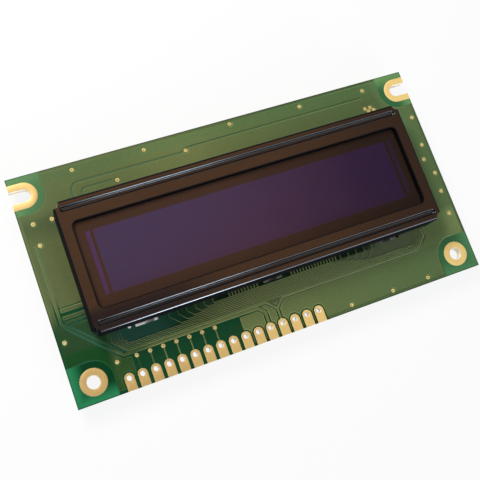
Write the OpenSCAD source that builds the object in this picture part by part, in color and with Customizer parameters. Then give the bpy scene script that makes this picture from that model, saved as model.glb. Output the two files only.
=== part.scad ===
// Character OLED display module: a glass panel under a folded metal bezel, on a circuit board.
// Millimetres. X runs along the board, Y runs up the board and Z points out of the display.
// The origin lies under the middle of the board, at the tips of the bezel's tabs.

/* [Board] */
// Length of the board
board_w = 84; // [82:0.5:100]
// Height of the board
board_h = 44; // [43:0.5:60]
// Thickness of the laminate
board_t = 1.6; // [1:0.1:2.4]
// Thickness of the copper with its plating
copper_t = 0.06; // [0.04:0.01:0.1]
// Distance from the board's edge to the copper
copper_edge = 0.6; // [0.4:0.1:1]
// Width of the gaps that divide the copper
copper_gap = 0.3; // [0.2:0.02:0.4]
// Diameter of a via's gold dot
via_d = 0.8; // [0.6:0.05:0.85]
// Diameter of a via's hole
via_hole_d = 0.3; // [0.2:0.05:0.4]

/* [Mounting] */
// Diameter of the two lower mounting holes
hole_d = 2.5; // [2:0.1:3]
// Diameter of the gold ring round a lower hole
ring_d = 5; // [4:0.1:5.6]
// Distance from a lower hole to the side edge
hole_side = 4; // [3:0.1:5]
// Distance from a lower hole to the bottom edge
hole_rise = 3.75; // [3:0.05:5]
// Width of the two upper slots, open to the side edges
slot_w = 2.5; // [2:0.1:3]
// Depth of an upper slot from the side edge
slot_depth = 3.75; // [3:0.05:4.5]
// Distance from the middle of an upper slot to the top edge
slot_drop = 3.75; // [3:0.05:5]
// Width of the gold rim round an upper slot
slot_rim = 1.25; // [0.8:0.05:1.5]
// Bare margin round the rings and rims, free of copper
bare_margin = 1.3; // [0.8:0.1:2]

/* [Header] */
// Number of header pads
pad_count = 16; // [14:1:18]
// Spacing of the header pads
pad_pitch = 2.54; // [2.3:0.01:2.8]
// Distance from the left edge to the first pad
pad_start = 10.16; // [9.5:0.02:14]
// Distance from the pad holes to the bottom edge
pad_rise = 2.3; // [1.6:0.1:2.6]
// Width of a pad
pad_w = 1.85; // [1.5:0.05:1.9]
// Diameter of a pad's hole
pad_hole_d = 1; // [0.8:0.05:1.2]

/* [Bezel] */
// Length of the bezel
bezel_w = 71.2; // [69:0.1:73]
// Height of the bezel
bezel_h = 24.9; // [23.5:0.1:27]
// Distance from the board up to the bezel's face
bezel_rise = 5.3; // [5:0.1:7]
// Distance from the middle of the board to the middle of the bezel
bezel_up = 1.53; // [0.5:0.01:2.5]
// Thickness of the sheet
sheet_t = 0.4; // [0.3:0.05:0.5]
// Inside radius of the folds
fold_in_r = 0.15; // [0.05:0.05:0.3]
// Length left open at each end of a fold
corner_gap = 1.2; // [1:0.1:2]
// Width of the bezel's face beside the window
frame_side = 2.4; // [1.8:0.1:3.5]
// Width of the bezel's face above the window
frame_top = 4.43; // [4:0.01:5.5]
// Width of the bezel's face below the window
frame_bottom = 4.07; // [3.8:0.01:5]
// Corner radius of the window
window_r = 1; // [0.5:0.1:2]
// Width of the two pressed grooves
groove_w = 1.25; // [1.1:0.05:1.5]
// Depth of the grooves
groove_depth = 0.5; // [0.35:0.05:0.55]
// Distance from a long edge of the bezel to the middle of a groove
groove_inset = 1.68; // [1.5:0.02:1.9]
// Distance from a short edge of the bezel to the end of a groove
groove_end = 1.04; // [0.8:0.02:2]

/* [Tabs] */
// Distance from the middle tab to the outer tabs
tab_spacing = 25.6; // [24:0.1:27]
// Width of a tab
tab_w = 3.4; // [2.5:0.1:4]
// Length of a tab below the board
tab_drop = 1.9; // [1.8:0.1:2.6]
// Angle by which a tab is twisted to lock
tab_twist = 32; // [0:1:45]
// Spare length of a tab's slot
tab_slot_spare = 1; // [0.4:0.1:1.4]
// Spare width of a tab's slot outside the bezel
tab_slot_out = 0.44; // [0.2:0.02:0.6]
// Spare width of a tab's slot inside the bezel
tab_slot_in = 0.2; // [0.1:0.02:0.3]

/* [Display] */
// Thickness of the front glass
glass_t = 0.7; // [0.5:0.05:1.1]
// Gap between the front glass and the bezel's walls
glass_gap = 0.25; // [0.1:0.05:0.3]
// Thickness of the polarizer
polarizer_t = 0.2; // [0.1:0.02:0.25]
// Overlap of the polarizer under the bezel's face
polarizer_lap = 0.6; // [0.2:0.1:0.8]
// Distance from the window's short edges to the light-emitting field
field_side = 2.95; // [2.7:0.05:8]
// Distance from the window's long edges to the light-emitting field
field_rise = 2.13; // [1.2:0.01:4]
// Distance from the middle of the window to the middle of the field, to the right
field_right = 0.27; // [-0.4:0.01:0.4]
// Distance from the middle of the window to the middle of the field, upwards
field_up = 0.15; // [-0.4:0.01:0.4]
// Number of dot columns in the field
column_count = 100; // [80:1:120]
// Number of dot rows in the field
row_count = 16; // [8:1:24]
// Gap between neighbouring columns or rows
line_gap = 0.05; // [0.03:0.01:0.1]
// Thickness of each deposited film
film_t = 0.04; // [0.02:0.01:0.04]
// Gap between the field and a side electrode
electrode_gap = 0.6; // [0.4:0.05:0.75]
// Width of a side electrode
electrode_w = 0.8; // [0.4:0.05:0.9]
// Thickness of the glue frame between the glasses
seal_t = 0.15; // [0.13:0.01:0.2]
// Width of the glue frame
seal_w = 1.2; // [0.8:0.1:1.3]
// Thickness of the rear glass
rear_glass_t = 1; // [0.8:0.05:1.2]
// Distance from the front glass's short edges to the rear glass
rear_glass_end = 0.8; // [0.6:0.1:0.9]
// Depth of the recess in the rear glass
recess_depth = 0.4; // [0.3:0.05:0.5]
// Thickness of the desiccant sheet
desiccant_t = 0.2; // [0.1:0.05:0.25]
// Distance from the recess's walls to the desiccant sheet
desiccant_gap = 3; // [1:0.5:4]

/* [Connection] */
// Width of an elastomer strip
zebra_w = 1.8; // [1.4:0.1:1.9]
// Distance from the glass's short edges to the ends of a strip
zebra_end = 1.7; // [1.2:0.1:3]
// Gap between a strip and the rear glass
zebra_glass_gap = 0.4; // [0.2:0.05:0.6]
// Gap between a strip and the spacer frame
zebra_gap = 0.15; // [0.1:0.05:0.3]
// Spacing of the contact fingers under a strip
finger_pitch = 1.1; // [0.8:0.05:1.5]
// Width of a contact finger
finger_w = 0.6; // [0.3:0.05:0.7]
// Thickness of the foam strips
foam_t = 0.6; // [0.4:0.05:0.8]
// Width of the spacer frame's long rails
rail_w = 3.2; // [2.8:0.1:5]
// Width of the spacer frame's ribs
rib_w = 2; // [1.2:0.1:4]
// Number of openings in the spacer frame
bay_count = 4; // [2:1:6]

/* [Back] */
// Diameter of the epoxy dome over the controller
glob_d = 14; // [12:0.5:15]
// Height of the epoxy dome
glob_h = 1.4; // [1:0.1:1.6]
// Side of the inductor
inductor_w = 4; // [3.6:0.1:4.2]
// Height of the inductor
inductor_h = 1.5; // [1.2:0.1:1.6]
// Length of the converter chip's body
chip_w = 2.9; // [2.6:0.1:3]
// Width of the converter chip's body
chip_d = 1.6; // [1.4:0.1:1.7]
// Height of the converter chip's body
chip_h = 1; // [0.8:0.05:1.2]
// Length of the diode's body
diode_w = 2.7; // [2.4:0.1:2.8]

/* [Hidden] */
$fn = 48;
// Overshoot of cutting tools
cut = 0.5;

// Levels
back_z = tab_drop;
front_z = back_z + board_t;
face_z = front_z + bezel_rise;
glass_top_z = face_z - sheet_t - groove_depth;
glass_z = glass_top_z - glass_t;
rear_top_z = glass_z - seal_t;
rear_z = rear_top_z - rear_glass_t;
foam_z = rear_z - foam_t;
zebra_z = front_z + copper_t;

// Edges of the board and the bezel
side_x = board_w / 2;
top_y = board_h / 2;
bottom_y = -board_h / 2;
bezel_side_x = bezel_w / 2;
bezel_top_y = bezel_up + bezel_h / 2;
bezel_bottom_y = bezel_up - bezel_h / 2;

// Bezel
fold_r = fold_in_r + sheet_t;
window_w = bezel_w - 2 * frame_side;
window_h = bezel_h - frame_top - frame_bottom;
window_y = bezel_up + (frame_bottom - frame_top) / 2;
groove_r = (pow(groove_w / 2, 2) + pow(groove_depth, 2)) / (2 * groove_depth);
groove_half = bezel_side_x - groove_end - groove_w / 2;
groove_lines = [bezel_top_y - groove_inset, bezel_bottom_y + groove_inset];
tab_places = [-tab_spacing, 0, tab_spacing];
tab_slot_len = tab_w + tab_slot_spare;
twist_steps = 6;

// Panel
glass_w = bezel_w - 2 * (sheet_t + glass_gap);
glass_h = bezel_h - 2 * (sheet_t + glass_gap);
field_w = window_w - 2 * field_side;
field_h = window_h - 2 * field_rise;
field_x = field_right;
field_y = window_y + field_up;
strip_side = groove_inset + zebra_w / 2;
rear_w = glass_w - 2 * rear_glass_end;
rear_h = bezel_h - 2 * (strip_side + zebra_glass_gap);
zebra_len = glass_w - 2 * zebra_end;
core_h = bezel_h - 2 * (strip_side + zebra_gap);
core_w = zebra_len + 2 * zebra_gap;
bay_w = (core_w - (bay_count + 1) * rib_w) / bay_count;
bay_h = core_h - 2 * rail_w;
foam_w = rail_w - 2 * zebra_glass_gap;
foam_len = rear_w - 2 * rib_w;
finger_count = floor((zebra_len - finger_w) / finger_pitch) + 1;

// Holes of the board
hole_x = side_x - hole_side;
hole_y = bottom_y + hole_rise;
slot_y = top_y - slot_drop;
pad_y = bottom_y + pad_rise;
function pad_x(i) = -side_x + pad_start + i * pad_pitch;
tooling_d = 0.7;
tooling_sides = [-3.3, 7.2];
tooling_places = [tooling_sides[0] - tab_spacing, tooling_sides[1] + tab_spacing];

// Vias: a row above the pads, and others placed from the middle of the board and from its edges
via_row_rise = 3.44;
via_row = [for (i = [1:7]) [pad_x(i), pad_y + via_row_rise]];
top_vias = [[-29.7, 1.5], [-15.5, 1.5], [2.6, 1.1], [17.9, 1.5], [-7.7, 3.9], [-22.2, 5.8]];
corner_vias = [[9.7, 1.9], [10.6, 5.8], [10, 6.45], [9.4, 5.8], [8.8, 6.45], [1.25, 10.4]];
left_vias = [[2.5, 12.5], [2.5, 8.3]];
right_vias = [[1.55, 5.4], [2.4, 2.3], [1.2, -1.1], [1.5, -5.1]];
bottom_vias = [[13, 1.1], [22.2, 1]];
lower_right_vias = [[11.7, 1.1], [1.8, 12]];
lower_left_vias = [[1.3, 12], [pad_start - 1.16, 5.7]];
via_places = concat(
    via_row,
    [for (v = top_vias) [v[0], top_y - v[1]]],
    [for (v = corner_vias) [side_x - v[0], top_y - v[1]]],
    [for (v = left_vias) [v[0] - side_x, v[1]]],
    [for (v = right_vias) [side_x - v[0], v[1]]],
    [for (v = bottom_vias) [v[0], bottom_y + v[1]]],
    [for (v = lower_right_vias) [side_x - v[0], bottom_y + v[1]]],
    [for (v = lower_left_vias) [v[0] - side_x, bottom_y + v[1]]],
    [[-bezel_side_x - via_d / 2, left_vias[0][1]]]
);
via_clear = 0.12;

// Traces of the front: a bus that loops below the bezel, with its outermost line led to a pad
bus_count = 11;
nest_count = 5;
bus_rise = 4.75;
bus_drop = 0.85;
bus_low_y = pad_y + bus_rise;
bus_high_y = bezel_bottom_y - bus_drop;
bus_pitch = (bus_high_y - bus_low_y) / (bus_count - 1);
bus_w = bus_pitch / 2;
nest_side = 2.8;
nest_pitch = 0.48;
nest_drop = 1.7;
fan_side = 4.2;
fan_pitch = 1.75;
fan_drop = 0.7;
supply_w = 0.5;
supply_rise = 4.2;
supply_side = 1.75;
supply_y = pad_y + supply_rise;
supply_x = -side_x + supply_side;
stub_w = 0.25;
sense_w = 0.35;
comb_pitch = 0.64;
comb_starts = [-9.3, 3.7];
comb_counts = [10, 16];
comb_places = [for (g = [0, 1], i = [0:comb_counts[g] - 1]) comb_starts[g] + i * comb_pitch];
function bus_y(k) = bus_low_y + k * bus_pitch;
function bus_x(k) =
    k < nest_count ? bezel_side_x - nest_side - k * nest_pitch
                   : tab_spacing - fan_side - (k - nest_count) * fan_pitch;
function bus_turn_y(k) = bezel_bottom_y - (k < nest_count ? nest_drop : fan_drop);
function bus_end(k, s) = [
    [s * bus_x(k), bezel_bottom_y + sheet_t],
    [s * bus_x(k), bus_turn_y(k)],
    [s * (bus_x(k) - bus_turn_y(k) + bus_y(k)), bus_y(k)]
];
function reversed(path) = [for (i = [len(path) - 1:-1:0]) path[i]];
function bus_path(k) = concat(bus_end(k, -1), reversed(bus_end(k, 1)));
sense_pad = 12;
sense_drop = 1.75;
function sense_path(s) = concat(
    bus_end(0, s),
    [[pad_x(sense_pad) + s * sense_drop, bus_y(0)],
     [pad_x(sense_pad), bus_y(0) - sense_drop],
     [pad_x(sense_pad), pad_y]]
);
supply_pad = 11;
supply_bend = 1.1;
supply_turn = 4.2;
supply_top_y = left_vias[1][1];
supply_fall = bezel_bottom_y + supply_turn - supply_y;
supply_path = [
    [supply_x, supply_top_y],
    [supply_x, supply_y + supply_fall],
    [supply_x + supply_fall, supply_y],
    [pad_x(supply_pad) - supply_bend, supply_y],
    [pad_x(supply_pad), supply_y - supply_bend],
    [pad_x(supply_pad), pad_y]
];
// Gaps that divide the upper pour and the pour at the left side
gap_sides = [4.6, 4.1];
gap_x = gap_sides[0] - bezel_side_x;
gap_end_x = bezel_side_x - gap_sides[1];
gap_r = 1.65;
gap_step = [-8.6, -7];
gap_drops = [4, 3.3];
turn_steps = 6;
// Quarter turn of a gap that comes up from below and leaves to the right
function rounded(corner, r) = [
    for (i = [0:turn_steps])
        let (a = 180 - 90 * i / turn_steps) corner + r * [1 + cos(a), sin(a) - 1]
];
upper_gap_path = concat(
    [[gap_x, bezel_top_y]],
    rounded([gap_x, top_y - gap_drops[0]], gap_r),
    [[gap_step[0], top_y - gap_drops[0]],
     [gap_step[1], top_y - gap_drops[1]],
     [gap_end_x, top_y - gap_drops[1]]]
);
inner_gap_shift = 1.8;
inner_gap_x = gap_x + inner_gap_shift;
inner_gap_len = 6.2;
inner_gap_r = 0.9;
inner_gap_drop = 5.45;
inner_gap_path = concat(
    [[inner_gap_x, bezel_top_y]],
    rounded([inner_gap_x, top_y - inner_gap_drop], inner_gap_r),
    [[inner_gap_x + inner_gap_len, top_y - inner_gap_drop]]
);
// Gaps beside the bezel: rise above its bottom edge, and width
side_gaps = [[7.1, 0.22], [5.85, 0.65], [4.65, 0.3], [3.85, 0.4]];
// First and last pad of the strip that has no copper above it
bare_pads = [1, 9];

// Places on the back, from the middle of the bezel
glob_place = [7, 0];
inductor_place = [-21, 4.5];
chip_place = [-14.5, 4.5];
diode_place = [-21, -2];
large_places = [[-27.5, 5.5], [-27.5, 2.2]];
small_places = [[-14.5, 0.5], [-14.5, -2], [-14.5, -4.5], [-7, 3.6], [-7, 1.2], [-7, -1.2]];
resistor_rows = [6, 3.6, 1.2, -1.2, -3.6, -6];
resistor_x = [20, 25];
resistor_places = concat(
    [for (y = resistor_rows) [resistor_x[0], y]],
    [for (i = [0:2]) [resistor_x[1], resistor_rows[i]]]
);
jumper_places = [for (i = [3:5]) [resistor_x[1], resistor_rows[i]]];
// Sizes of the capacitors and the resistors: length, width, height
large_chip = [3.2, 1.6, 1.2];
small_chip = [2, 1.25, 0.85];
resistor_chip = [2, 1.25, 0.5];
// Details of the small parts
open_w = 62;
open_h = 18.4;
end_cap = 0.4;
end_cap_skin = 0.03;
pad_reach = 0.45;
fillet_len = 0.35;
fillet_share = 0.6;
terminal_t = 0.1;
terminal_w = 1.6;
core_gap = 0.1;
shield_wall = 0.35;
flange_t = 0.3;
lead_t = 0.15;
lead_w = 0.4;
lead_pitch = 0.95;
lead_reach = 0.6;
lead_foot = 0.35;
standoff = 0.1;
diode_lead_w = 0.6;
jumper_size = [0.9, 1.3];
jumper_gap = 0.3;
fan_lines = 24;
fan_line_pitch = 0.5;
fan_line_w = 0.22;
link_w = 0.8;
inductor_r = inductor_w / 2;
drum_r = inductor_r - shield_wall - core_gap;
post_r = drum_r / 2;
chip_sizes = concat(
    [for (p = large_places) [p, large_chip]],
    [for (p = small_places) [p, small_chip]],
    [for (p = resistor_places) [p, resistor_chip]]
);

// Helpers

// Mitred offset of one point of a path
function side_of(a, b) = [a[1] - b[1], b[0] - a[0]] / norm(b - a);
function mitre(path, i, d) =
    let (
        n = len(path),
        before = side_of(path[max(i - 1, 0)], path[max(i, 1)]),
        after = side_of(path[min(i, n - 2)], path[min(i + 1, n - 1)])
    )
    path[i] + (before + after) * d / (1 + before * after);

// Band of even width along a path
module band(path, w) {
    polygon(concat(
        [for (i = [0:len(path) - 1]) mitre(path, i, w / 2)],
        [for (i = [len(path) - 1:-1:0]) mitre(path, i, -w / 2)]
    ));
}

module round_rect(w, h, r) {
    square([w - 2 * r, h], center = true);
    square([w, h - 2 * r], center = true);
    for (x = [-1, 1], y = [-1, 1])
        translate([x * (w / 2 - r), y * (h / 2 - r)]) circle(r);
}

// Box standing on a level, centred in X and Y
module slab(w, h, t) {
    translate([-w / 2, -h / 2, 0]) cube([w, h, t]);
}

// Both sides of the board, left and right
module both_sides() {
    children();
    mirror([1, 0, 0]) children();
}

// A place on the back of the board, with Z pointing away from it
module on_back(place) {
    translate([place[0], bezel_up + place[1], back_z]) mirror([0, 0, 1]) children();
}

// Open slot of the right edge, grown by d
module edge_slot(d) {
    r = slot_w / 2 + d;
    middle = side_x - slot_depth + slot_w / 2;
    translate([middle, slot_y]) circle(r);
    translate([middle, slot_y - r]) square([side_x - middle, 2 * r]);
}

// Pad with a round head, reaching the board's bottom edge, grown by d
module pad_outline(i, d) {
    r = pad_w / 2 + d;
    translate([pad_x(i), pad_y]) circle(r);
    translate([pad_x(i) - r, bottom_y]) square([2 * r, pad_rise]);
}

// Slots for the bezel's tabs, grown by d
module tab_slots(d) {
    depth = tab_slot_in + sheet_t + tab_slot_out + 2 * d;
    length = tab_slot_len + 2 * d;
    middle = bezel_h / 2 - sheet_t / 2 + (tab_slot_out - tab_slot_in) / 2;
    for (side = [-1, 1], x = tab_places)
        translate([x, bezel_up + side * middle]) square([length, depth], center = true);
}

// Corners that stay free of copper, on the right side
module bare_corner() {
    hole_r = ring_d / 2 + bare_margin;
    slot_r = slot_w / 2 + slot_rim + bare_margin;
    slot_x = side_x - slot_depth + slot_w / 2;
    translate([hole_x, hole_y]) circle(hole_r);
    translate([hole_x - hole_r, bottom_y]) square([side_x - hole_x + hole_r, hole_rise]);
    translate([hole_x, bottom_y]) square([side_x - hole_x, hole_rise + hole_r]);
    translate([slot_x, slot_y]) circle(slot_r);
    translate([slot_x - slot_r, slot_y]) square([side_x - slot_x + slot_r, slot_drop]);
    translate([slot_x, slot_y - slot_r]) square([side_x - slot_x, slot_drop + slot_r]);
}

// Copper sheet up to the board's edges, with everything that both faces leave free
module pour_outline() {
    difference() {
        square([board_w - 2 * copper_edge, board_h - 2 * copper_edge], center = true);
        both_sides() bare_corner();
        tab_slots(copper_gap);
        for (i = [0:pad_count - 1]) pad_outline(i, copper_gap);
        for (v = via_places) translate(v) circle(d = via_d + 2 * via_clear);
        for (x = tooling_places) translate([x, bezel_bottom_y]) circle(d = tooling_d + 2 * via_clear);
    }
}

// Plated hole through the board with a land on both faces
module eyelet(hole, land) {
    r = hole / 2;
    translate([0, 0, back_z]) rotate_extrude()
        polygon([
            [r, -copper_t], [land / 2, -copper_t], [land / 2, 0], [r + copper_t, 0],
            [r + copper_t, board_t], [land / 2, board_t],
            [land / 2, board_t + copper_t], [r, board_t + copper_t]
        ]);
}

// Board and copper

module circuit_board() {
    color("#1d7a45") translate([0, 0, back_z]) linear_extrude(board_t) difference() {
        square([board_w, board_h], center = true);
        for (s = [-1, 1]) translate([s * hole_x, hole_y]) circle(d = hole_d + 2 * copper_t);
        both_sides() edge_slot(copper_t);
        for (i = [0:pad_count - 1]) translate([pad_x(i), pad_y]) circle(d = pad_hole_d + 2 * copper_t);
        for (v = via_places) translate(v) circle(d = via_hole_d + 2 * copper_t);
        tab_slots(0);
        for (x = tooling_places) translate([x, bezel_bottom_y]) circle(d = tooling_d);
    }
}

// Area below the bezel that holds the bus
module bus_field() {
    outer = bus_end(0, 1);
    reach = sense_w / 2 + copper_gap;
    polygon([
        [-outer[0][0] - reach, outer[0][1]],
        [-outer[1][0] - reach, outer[1][1]],
        [-outer[2][0] - reach, outer[2][1] - reach],
        [outer[2][0] + reach, outer[2][1] - reach],
        [outer[1][0] + reach, outer[1][1]],
        [outer[0][0] + reach, outer[0][1]]
    ]);
}

module front_traces() {
    band(supply_path, supply_w);
    for (s = [-1, 1]) band(sense_path(s), sense_w);
    for (k = [1:bus_count - 1]) band(bus_path(k), bus_w);
    for (x = comb_places)
        translate([x - stub_w / 2, bus_high_y]) square([stub_w, bezel_bottom_y + sheet_t - bus_high_y]);
    for (v = via_row) translate([v[0] - stub_w / 2, pad_y]) square([stub_w, via_row_rise]);
}

module front_pour() {
    difference() {
        pour_outline();
        translate([0, bezel_up]) square([bezel_w - 2 * sheet_t, bezel_h - 2 * sheet_t], center = true);
        bus_field();
        translate([pad_x(bare_pads[0]) - pad_w / 2, bottom_y])
            square([(bare_pads[1] - bare_pads[0]) * pad_pitch + pad_w / 2, supply_y - bottom_y]);
        band(supply_path, supply_w + 2 * copper_gap);
        band(sense_path(-1), sense_w + 2 * copper_gap);
        band(sense_path(1), sense_w + 2 * copper_gap);
        band(upper_gap_path, copper_gap);
        band(inner_gap_path, copper_gap);
        for (g = side_gaps)
            translate([supply_x, bezel_bottom_y + g[0] - g[1] / 2]) square([side_x - bezel_side_x, g[1]]);
    }
}

module front_copper() {
    color("#5d7042") translate([0, 0, front_z]) linear_extrude(copper_t) {
        front_pour();
        difference() {
            front_traces();
            for (i = [0:pad_count - 1]) pad_outline(i, 0);
            for (v = via_places) translate(v) circle(d = via_d);
            tab_slots(0);
        }
    }
}

// Lines of the back that lead from the controller to the strips and to the small parts
module back_traces() {
    reach = open_h / 2 + copper_gap;
    for (i = [0:fan_lines - 1])
        translate([glob_place[0] + (i - (fan_lines - 1) / 2) * fan_line_pitch - fan_line_w / 2, -reach])
            square([fan_line_w, 2 * reach]);
    for (y = resistor_rows)
        translate([glob_place[0], y - stub_w / 2])
            square([resistor_x[0] - resistor_chip[0] / 2 - pad_reach - glob_place[0], stub_w]);
    for (i = [3:5])
        translate([small_places[i][0] + small_chip[0] / 2 + pad_reach, small_places[i][1] - stub_w / 2])
            square([glob_place[0] - small_places[i][0] - small_chip[0] / 2 - pad_reach, stub_w]);
    for (i = [0:2])
        translate([resistor_x[0] + resistor_chip[0] / 2 + pad_reach, resistor_rows[i] - stub_w / 2])
            square([resistor_x[1] - resistor_x[0] - resistor_chip[0] - 2 * pad_reach, stub_w]);
}

module back_copper() {
    color("#4f7a45") translate([0, 0, back_z - copper_t]) linear_extrude(copper_t) {
        difference() {
            pour_outline();
            translate([0, bezel_up]) square([open_w, open_h], center = true);
        }
        translate([0, bezel_up]) difference() {
            back_traces();
            translate(glob_place) circle(d = glob_d);
        }
    }
}

module header_pads() {
    color("#e0b860") for (i = [0:pad_count - 1]) difference() {
        union() {
            translate([0, 0, front_z]) linear_extrude(copper_t) pad_outline(i, 0);
            translate([0, 0, back_z - copper_t]) linear_extrude(copper_t) pad_outline(i, 0);
            translate([pad_x(i), pad_y, back_z]) cylinder(d = pad_hole_d + 2 * copper_t, h = board_t);
        }
        translate([pad_x(i), pad_y, back_z - cut]) cylinder(d = pad_hole_d, h = board_t + 2 * cut);
    }
}

module mount_rings() {
    color("#e0b860") for (s = [-1, 1]) translate([s * hole_x, hole_y, 0]) eyelet(hole_d, ring_d);
}

module slot_rims() {
    color("#e0b860") both_sides() difference() {
        union() {
            for (z = [back_z - copper_t, front_z])
                translate([0, 0, z]) linear_extrude(copper_t) edge_slot(slot_rim);
            translate([0, 0, back_z]) linear_extrude(board_t) edge_slot(copper_t);
        }
        translate([0, 0, back_z - cut]) linear_extrude(board_t + 2 * cut) edge_slot(0);
        translate([side_x, slot_y - slot_w / 2, back_z - cut]) cube([cut, slot_w, board_t + 2 * cut]);
    }
}

module via_dots() {
    color("#e0b860") for (v = via_places) translate(v) eyelet(via_hole_d, via_d);
}

module contact_fingers() {
    color("#e0b860") for (y = groove_lines, i = [0:finger_count - 1])
        translate([(i - (finger_count - 1) / 2) * finger_pitch, y, front_z])
            slab(finger_w, zebra_w + zebra_gap, copper_t);
}

// Bezel

// Section of one fold: the bend and the wall, with the outside corner at the origin
module fold_section() {
    intersection() {
        translate([-fold_r, -fold_r]) difference() {
            circle(fold_r);
            circle(fold_in_r);
        }
        translate([-fold_r, -fold_r]) square(fold_r);
    }
    translate([-sheet_t, -bezel_rise + copper_t]) square([sheet_t, bezel_rise - copper_t - fold_r]);
}

// One folded side of the bezel, at distance d from the middle
module folded_side(d, length) {
    translate([0, d, face_z]) rotate([90, 0, 90])
        linear_extrude(length - 2 * corner_gap, center = true) fold_section();
}

// Flat face of the bezel, with chamfered corners, up to where the folds begin
module bezel_face() {
    x = bezel_side_x - fold_r;
    y = bezel_h / 2 - fold_r;
    c = corner_gap - fold_r;
    polygon([
        [x - c, y], [x, y - c], [x, c - y], [x - c, -y],
        [c - x, -y], [-x, c - y], [-x, y - c], [c - x, y]
    ]);
}

// Round-ended half-round bar along a groove
module groove_bar(r) {
    rotate([0, 90, 0]) cylinder(r = r, h = 2 * groove_half, center = true);
    for (s = [-1, 1]) translate([s * groove_half, 0, 0]) sphere(r);
}

// Axis of the groove's round section
module at_grooves() {
    for (y = groove_lines) translate([0, y - bezel_up, face_z + groove_r - groove_depth]) children();
}

// Tab that passes through the board and is twisted behind it
module tab() {
    translate([0, 0, back_z]) slab(tab_w, sheet_t, board_t + 2 * copper_t);
    mirror([0, 0, 1]) translate([0, 0, -back_z])
        linear_extrude(tab_drop, twist = tab_twist, slices = twist_steps, segments = 4)
            square([tab_w, sheet_t], center = true);
}

module bezel() {
    color("#2b221e") translate([0, bezel_up, 0]) {
        difference() {
            union() {
                translate([0, 0, face_z - sheet_t]) linear_extrude(sheet_t) bezel_face();
                intersection() {
                    at_grooves() groove_bar(groove_r + sheet_t);
                    translate([0, 0, front_z]) slab(bezel_w, bezel_h, bezel_rise - sheet_t / 2);
                }
            }
            at_grooves() groove_bar(groove_r);
            translate([0, window_y - bezel_up, face_z - sheet_t - cut])
                linear_extrude(sheet_t + 2 * cut) round_rect(window_w, window_h, window_r);
        }
        for (a = [0, 180]) rotate([0, 0, a]) {
            folded_side(bezel_h / 2, bezel_w);
            rotate([0, 0, 90]) folded_side(bezel_side_x, bezel_h);
            for (x = tab_places) translate([x, bezel_h / 2 - sheet_t / 2, 0]) tab();
        }
    }
}

// Display panel

module polarizer() {
    color("#241a1e") translate([0, window_y, glass_top_z])
        linear_extrude(polarizer_t)
            square([window_w + 2 * polarizer_lap, window_h + 2 * polarizer_lap], center = true);
}

module display_glass() {
    color("#9fb6b8") translate([0, bezel_up, glass_z]) slab(glass_w, glass_h, glass_t);
}

module anode_columns() {
    pitch = field_w / column_count;
    color("#4a3f63") for (i = [0:column_count - 1])
        translate([field_x + (i - (column_count - 1) / 2) * pitch, field_y, glass_z - film_t])
            slab(pitch - line_gap, field_h, film_t);
}

module organic_layer() {
    color("#453a5c") translate([field_x, field_y, glass_z - 2 * film_t]) slab(field_w, field_h, film_t);
}

module cathode_rows() {
    pitch = field_h / row_count;
    color("#8d8a99") for (i = [0:row_count - 1])
        translate([field_x, field_y + (i - (row_count - 1) / 2) * pitch, glass_z - 3 * film_t])
            slab(field_w, pitch - line_gap, film_t);
}

module side_electrodes() {
    color("#4a3f6e") for (s = [-1, 1])
        translate([field_x + s * (field_w / 2 + electrode_gap + electrode_w / 2), field_y, glass_z - film_t])
            slab(electrode_w, field_h, film_t);
}

module glass_seal() {
    color("#1c1a18") translate([0, bezel_up, rear_top_z]) difference() {
        slab(rear_w, rear_h, seal_t);
        translate([0, 0, -cut]) slab(rear_w - 2 * seal_w, rear_h - 2 * seal_w, seal_t + 2 * cut);
    }
}

module rear_glass() {
    color("#7f9496") translate([0, bezel_up, rear_z]) difference() {
        slab(rear_w, rear_h, rear_glass_t);
        translate([0, 0, rear_glass_t - recess_depth])
            slab(rear_w - 2 * seal_w, rear_h - 2 * seal_w, recess_depth + cut);
    }
}

module desiccant_sheet() {
    inset = 2 * (seal_w + desiccant_gap);
    color("#d8d3c4") translate([0, bezel_up, rear_top_z - recess_depth])
        slab(rear_w - inset, rear_h - inset, desiccant_t);
}

// Connection between the panel and the board

module zebra(y) {
    color("#303236") translate([0, y, zebra_z]) slab(zebra_len, zebra_w, glass_z - zebra_z);
}

module upper_zebra() {
    zebra(groove_lines[0]);
}

module lower_zebra() {
    zebra(groove_lines[1]);
}

// Moulded frame between the strips, with bars across their ends
module spacer_frame() {
    frame_t = foam_z - front_z;
    bar_w = (glass_w - core_w) / 2;
    color("#d9d6cc") translate([0, bezel_up, front_z]) difference() {
        union() {
            slab(core_w + bar_w, core_h, frame_t);
            for (s = [-1, 1]) translate([s * (core_w + bar_w) / 2, 0, 0]) slab(bar_w, glass_h, frame_t);
        }
        for (i = [0:bay_count - 1])
            translate([(i - (bay_count - 1) / 2) * (bay_w + rib_w), 0, -cut])
                slab(bay_w, bay_h, frame_t + 2 * cut);
    }
}

module foam_strips() {
    color("#2a2a2c") for (s = [-1, 1])
        translate([0, bezel_up + s * (core_h - rail_w) / 2, foam_z]) slab(foam_len, foam_w, foam_t);
}

// Parts of the back

module controller_glob() {
    r = glob_d / 2;
    ball_r = (r * r + glob_h * glob_h) / (2 * glob_h);
    color("#17181a") on_back(glob_place) rotate_extrude() intersection() {
        translate([0, glob_h - ball_r]) circle(ball_r, $fn = 180);
        square([r, glob_h]);
    }
}

// Bent lead seen from its side, leaving a body at x = 0 and height h
module lead_section(h) {
    knee = lead_reach / 2;
    foot_z = lead_t / 2;
    band([[0, h], [knee, h], [knee + lead_t / 2, foot_z], [lead_reach + lead_foot, foot_z]], lead_t);
}

// Leads on both ends of a body of length w, lying along X
module end_leads(w, h, lead) {
    both_sides() translate([w / 2, lead / 2, copper_t]) rotate([90, 0, 0])
        linear_extrude(lead) lead_section(h);
}

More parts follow.
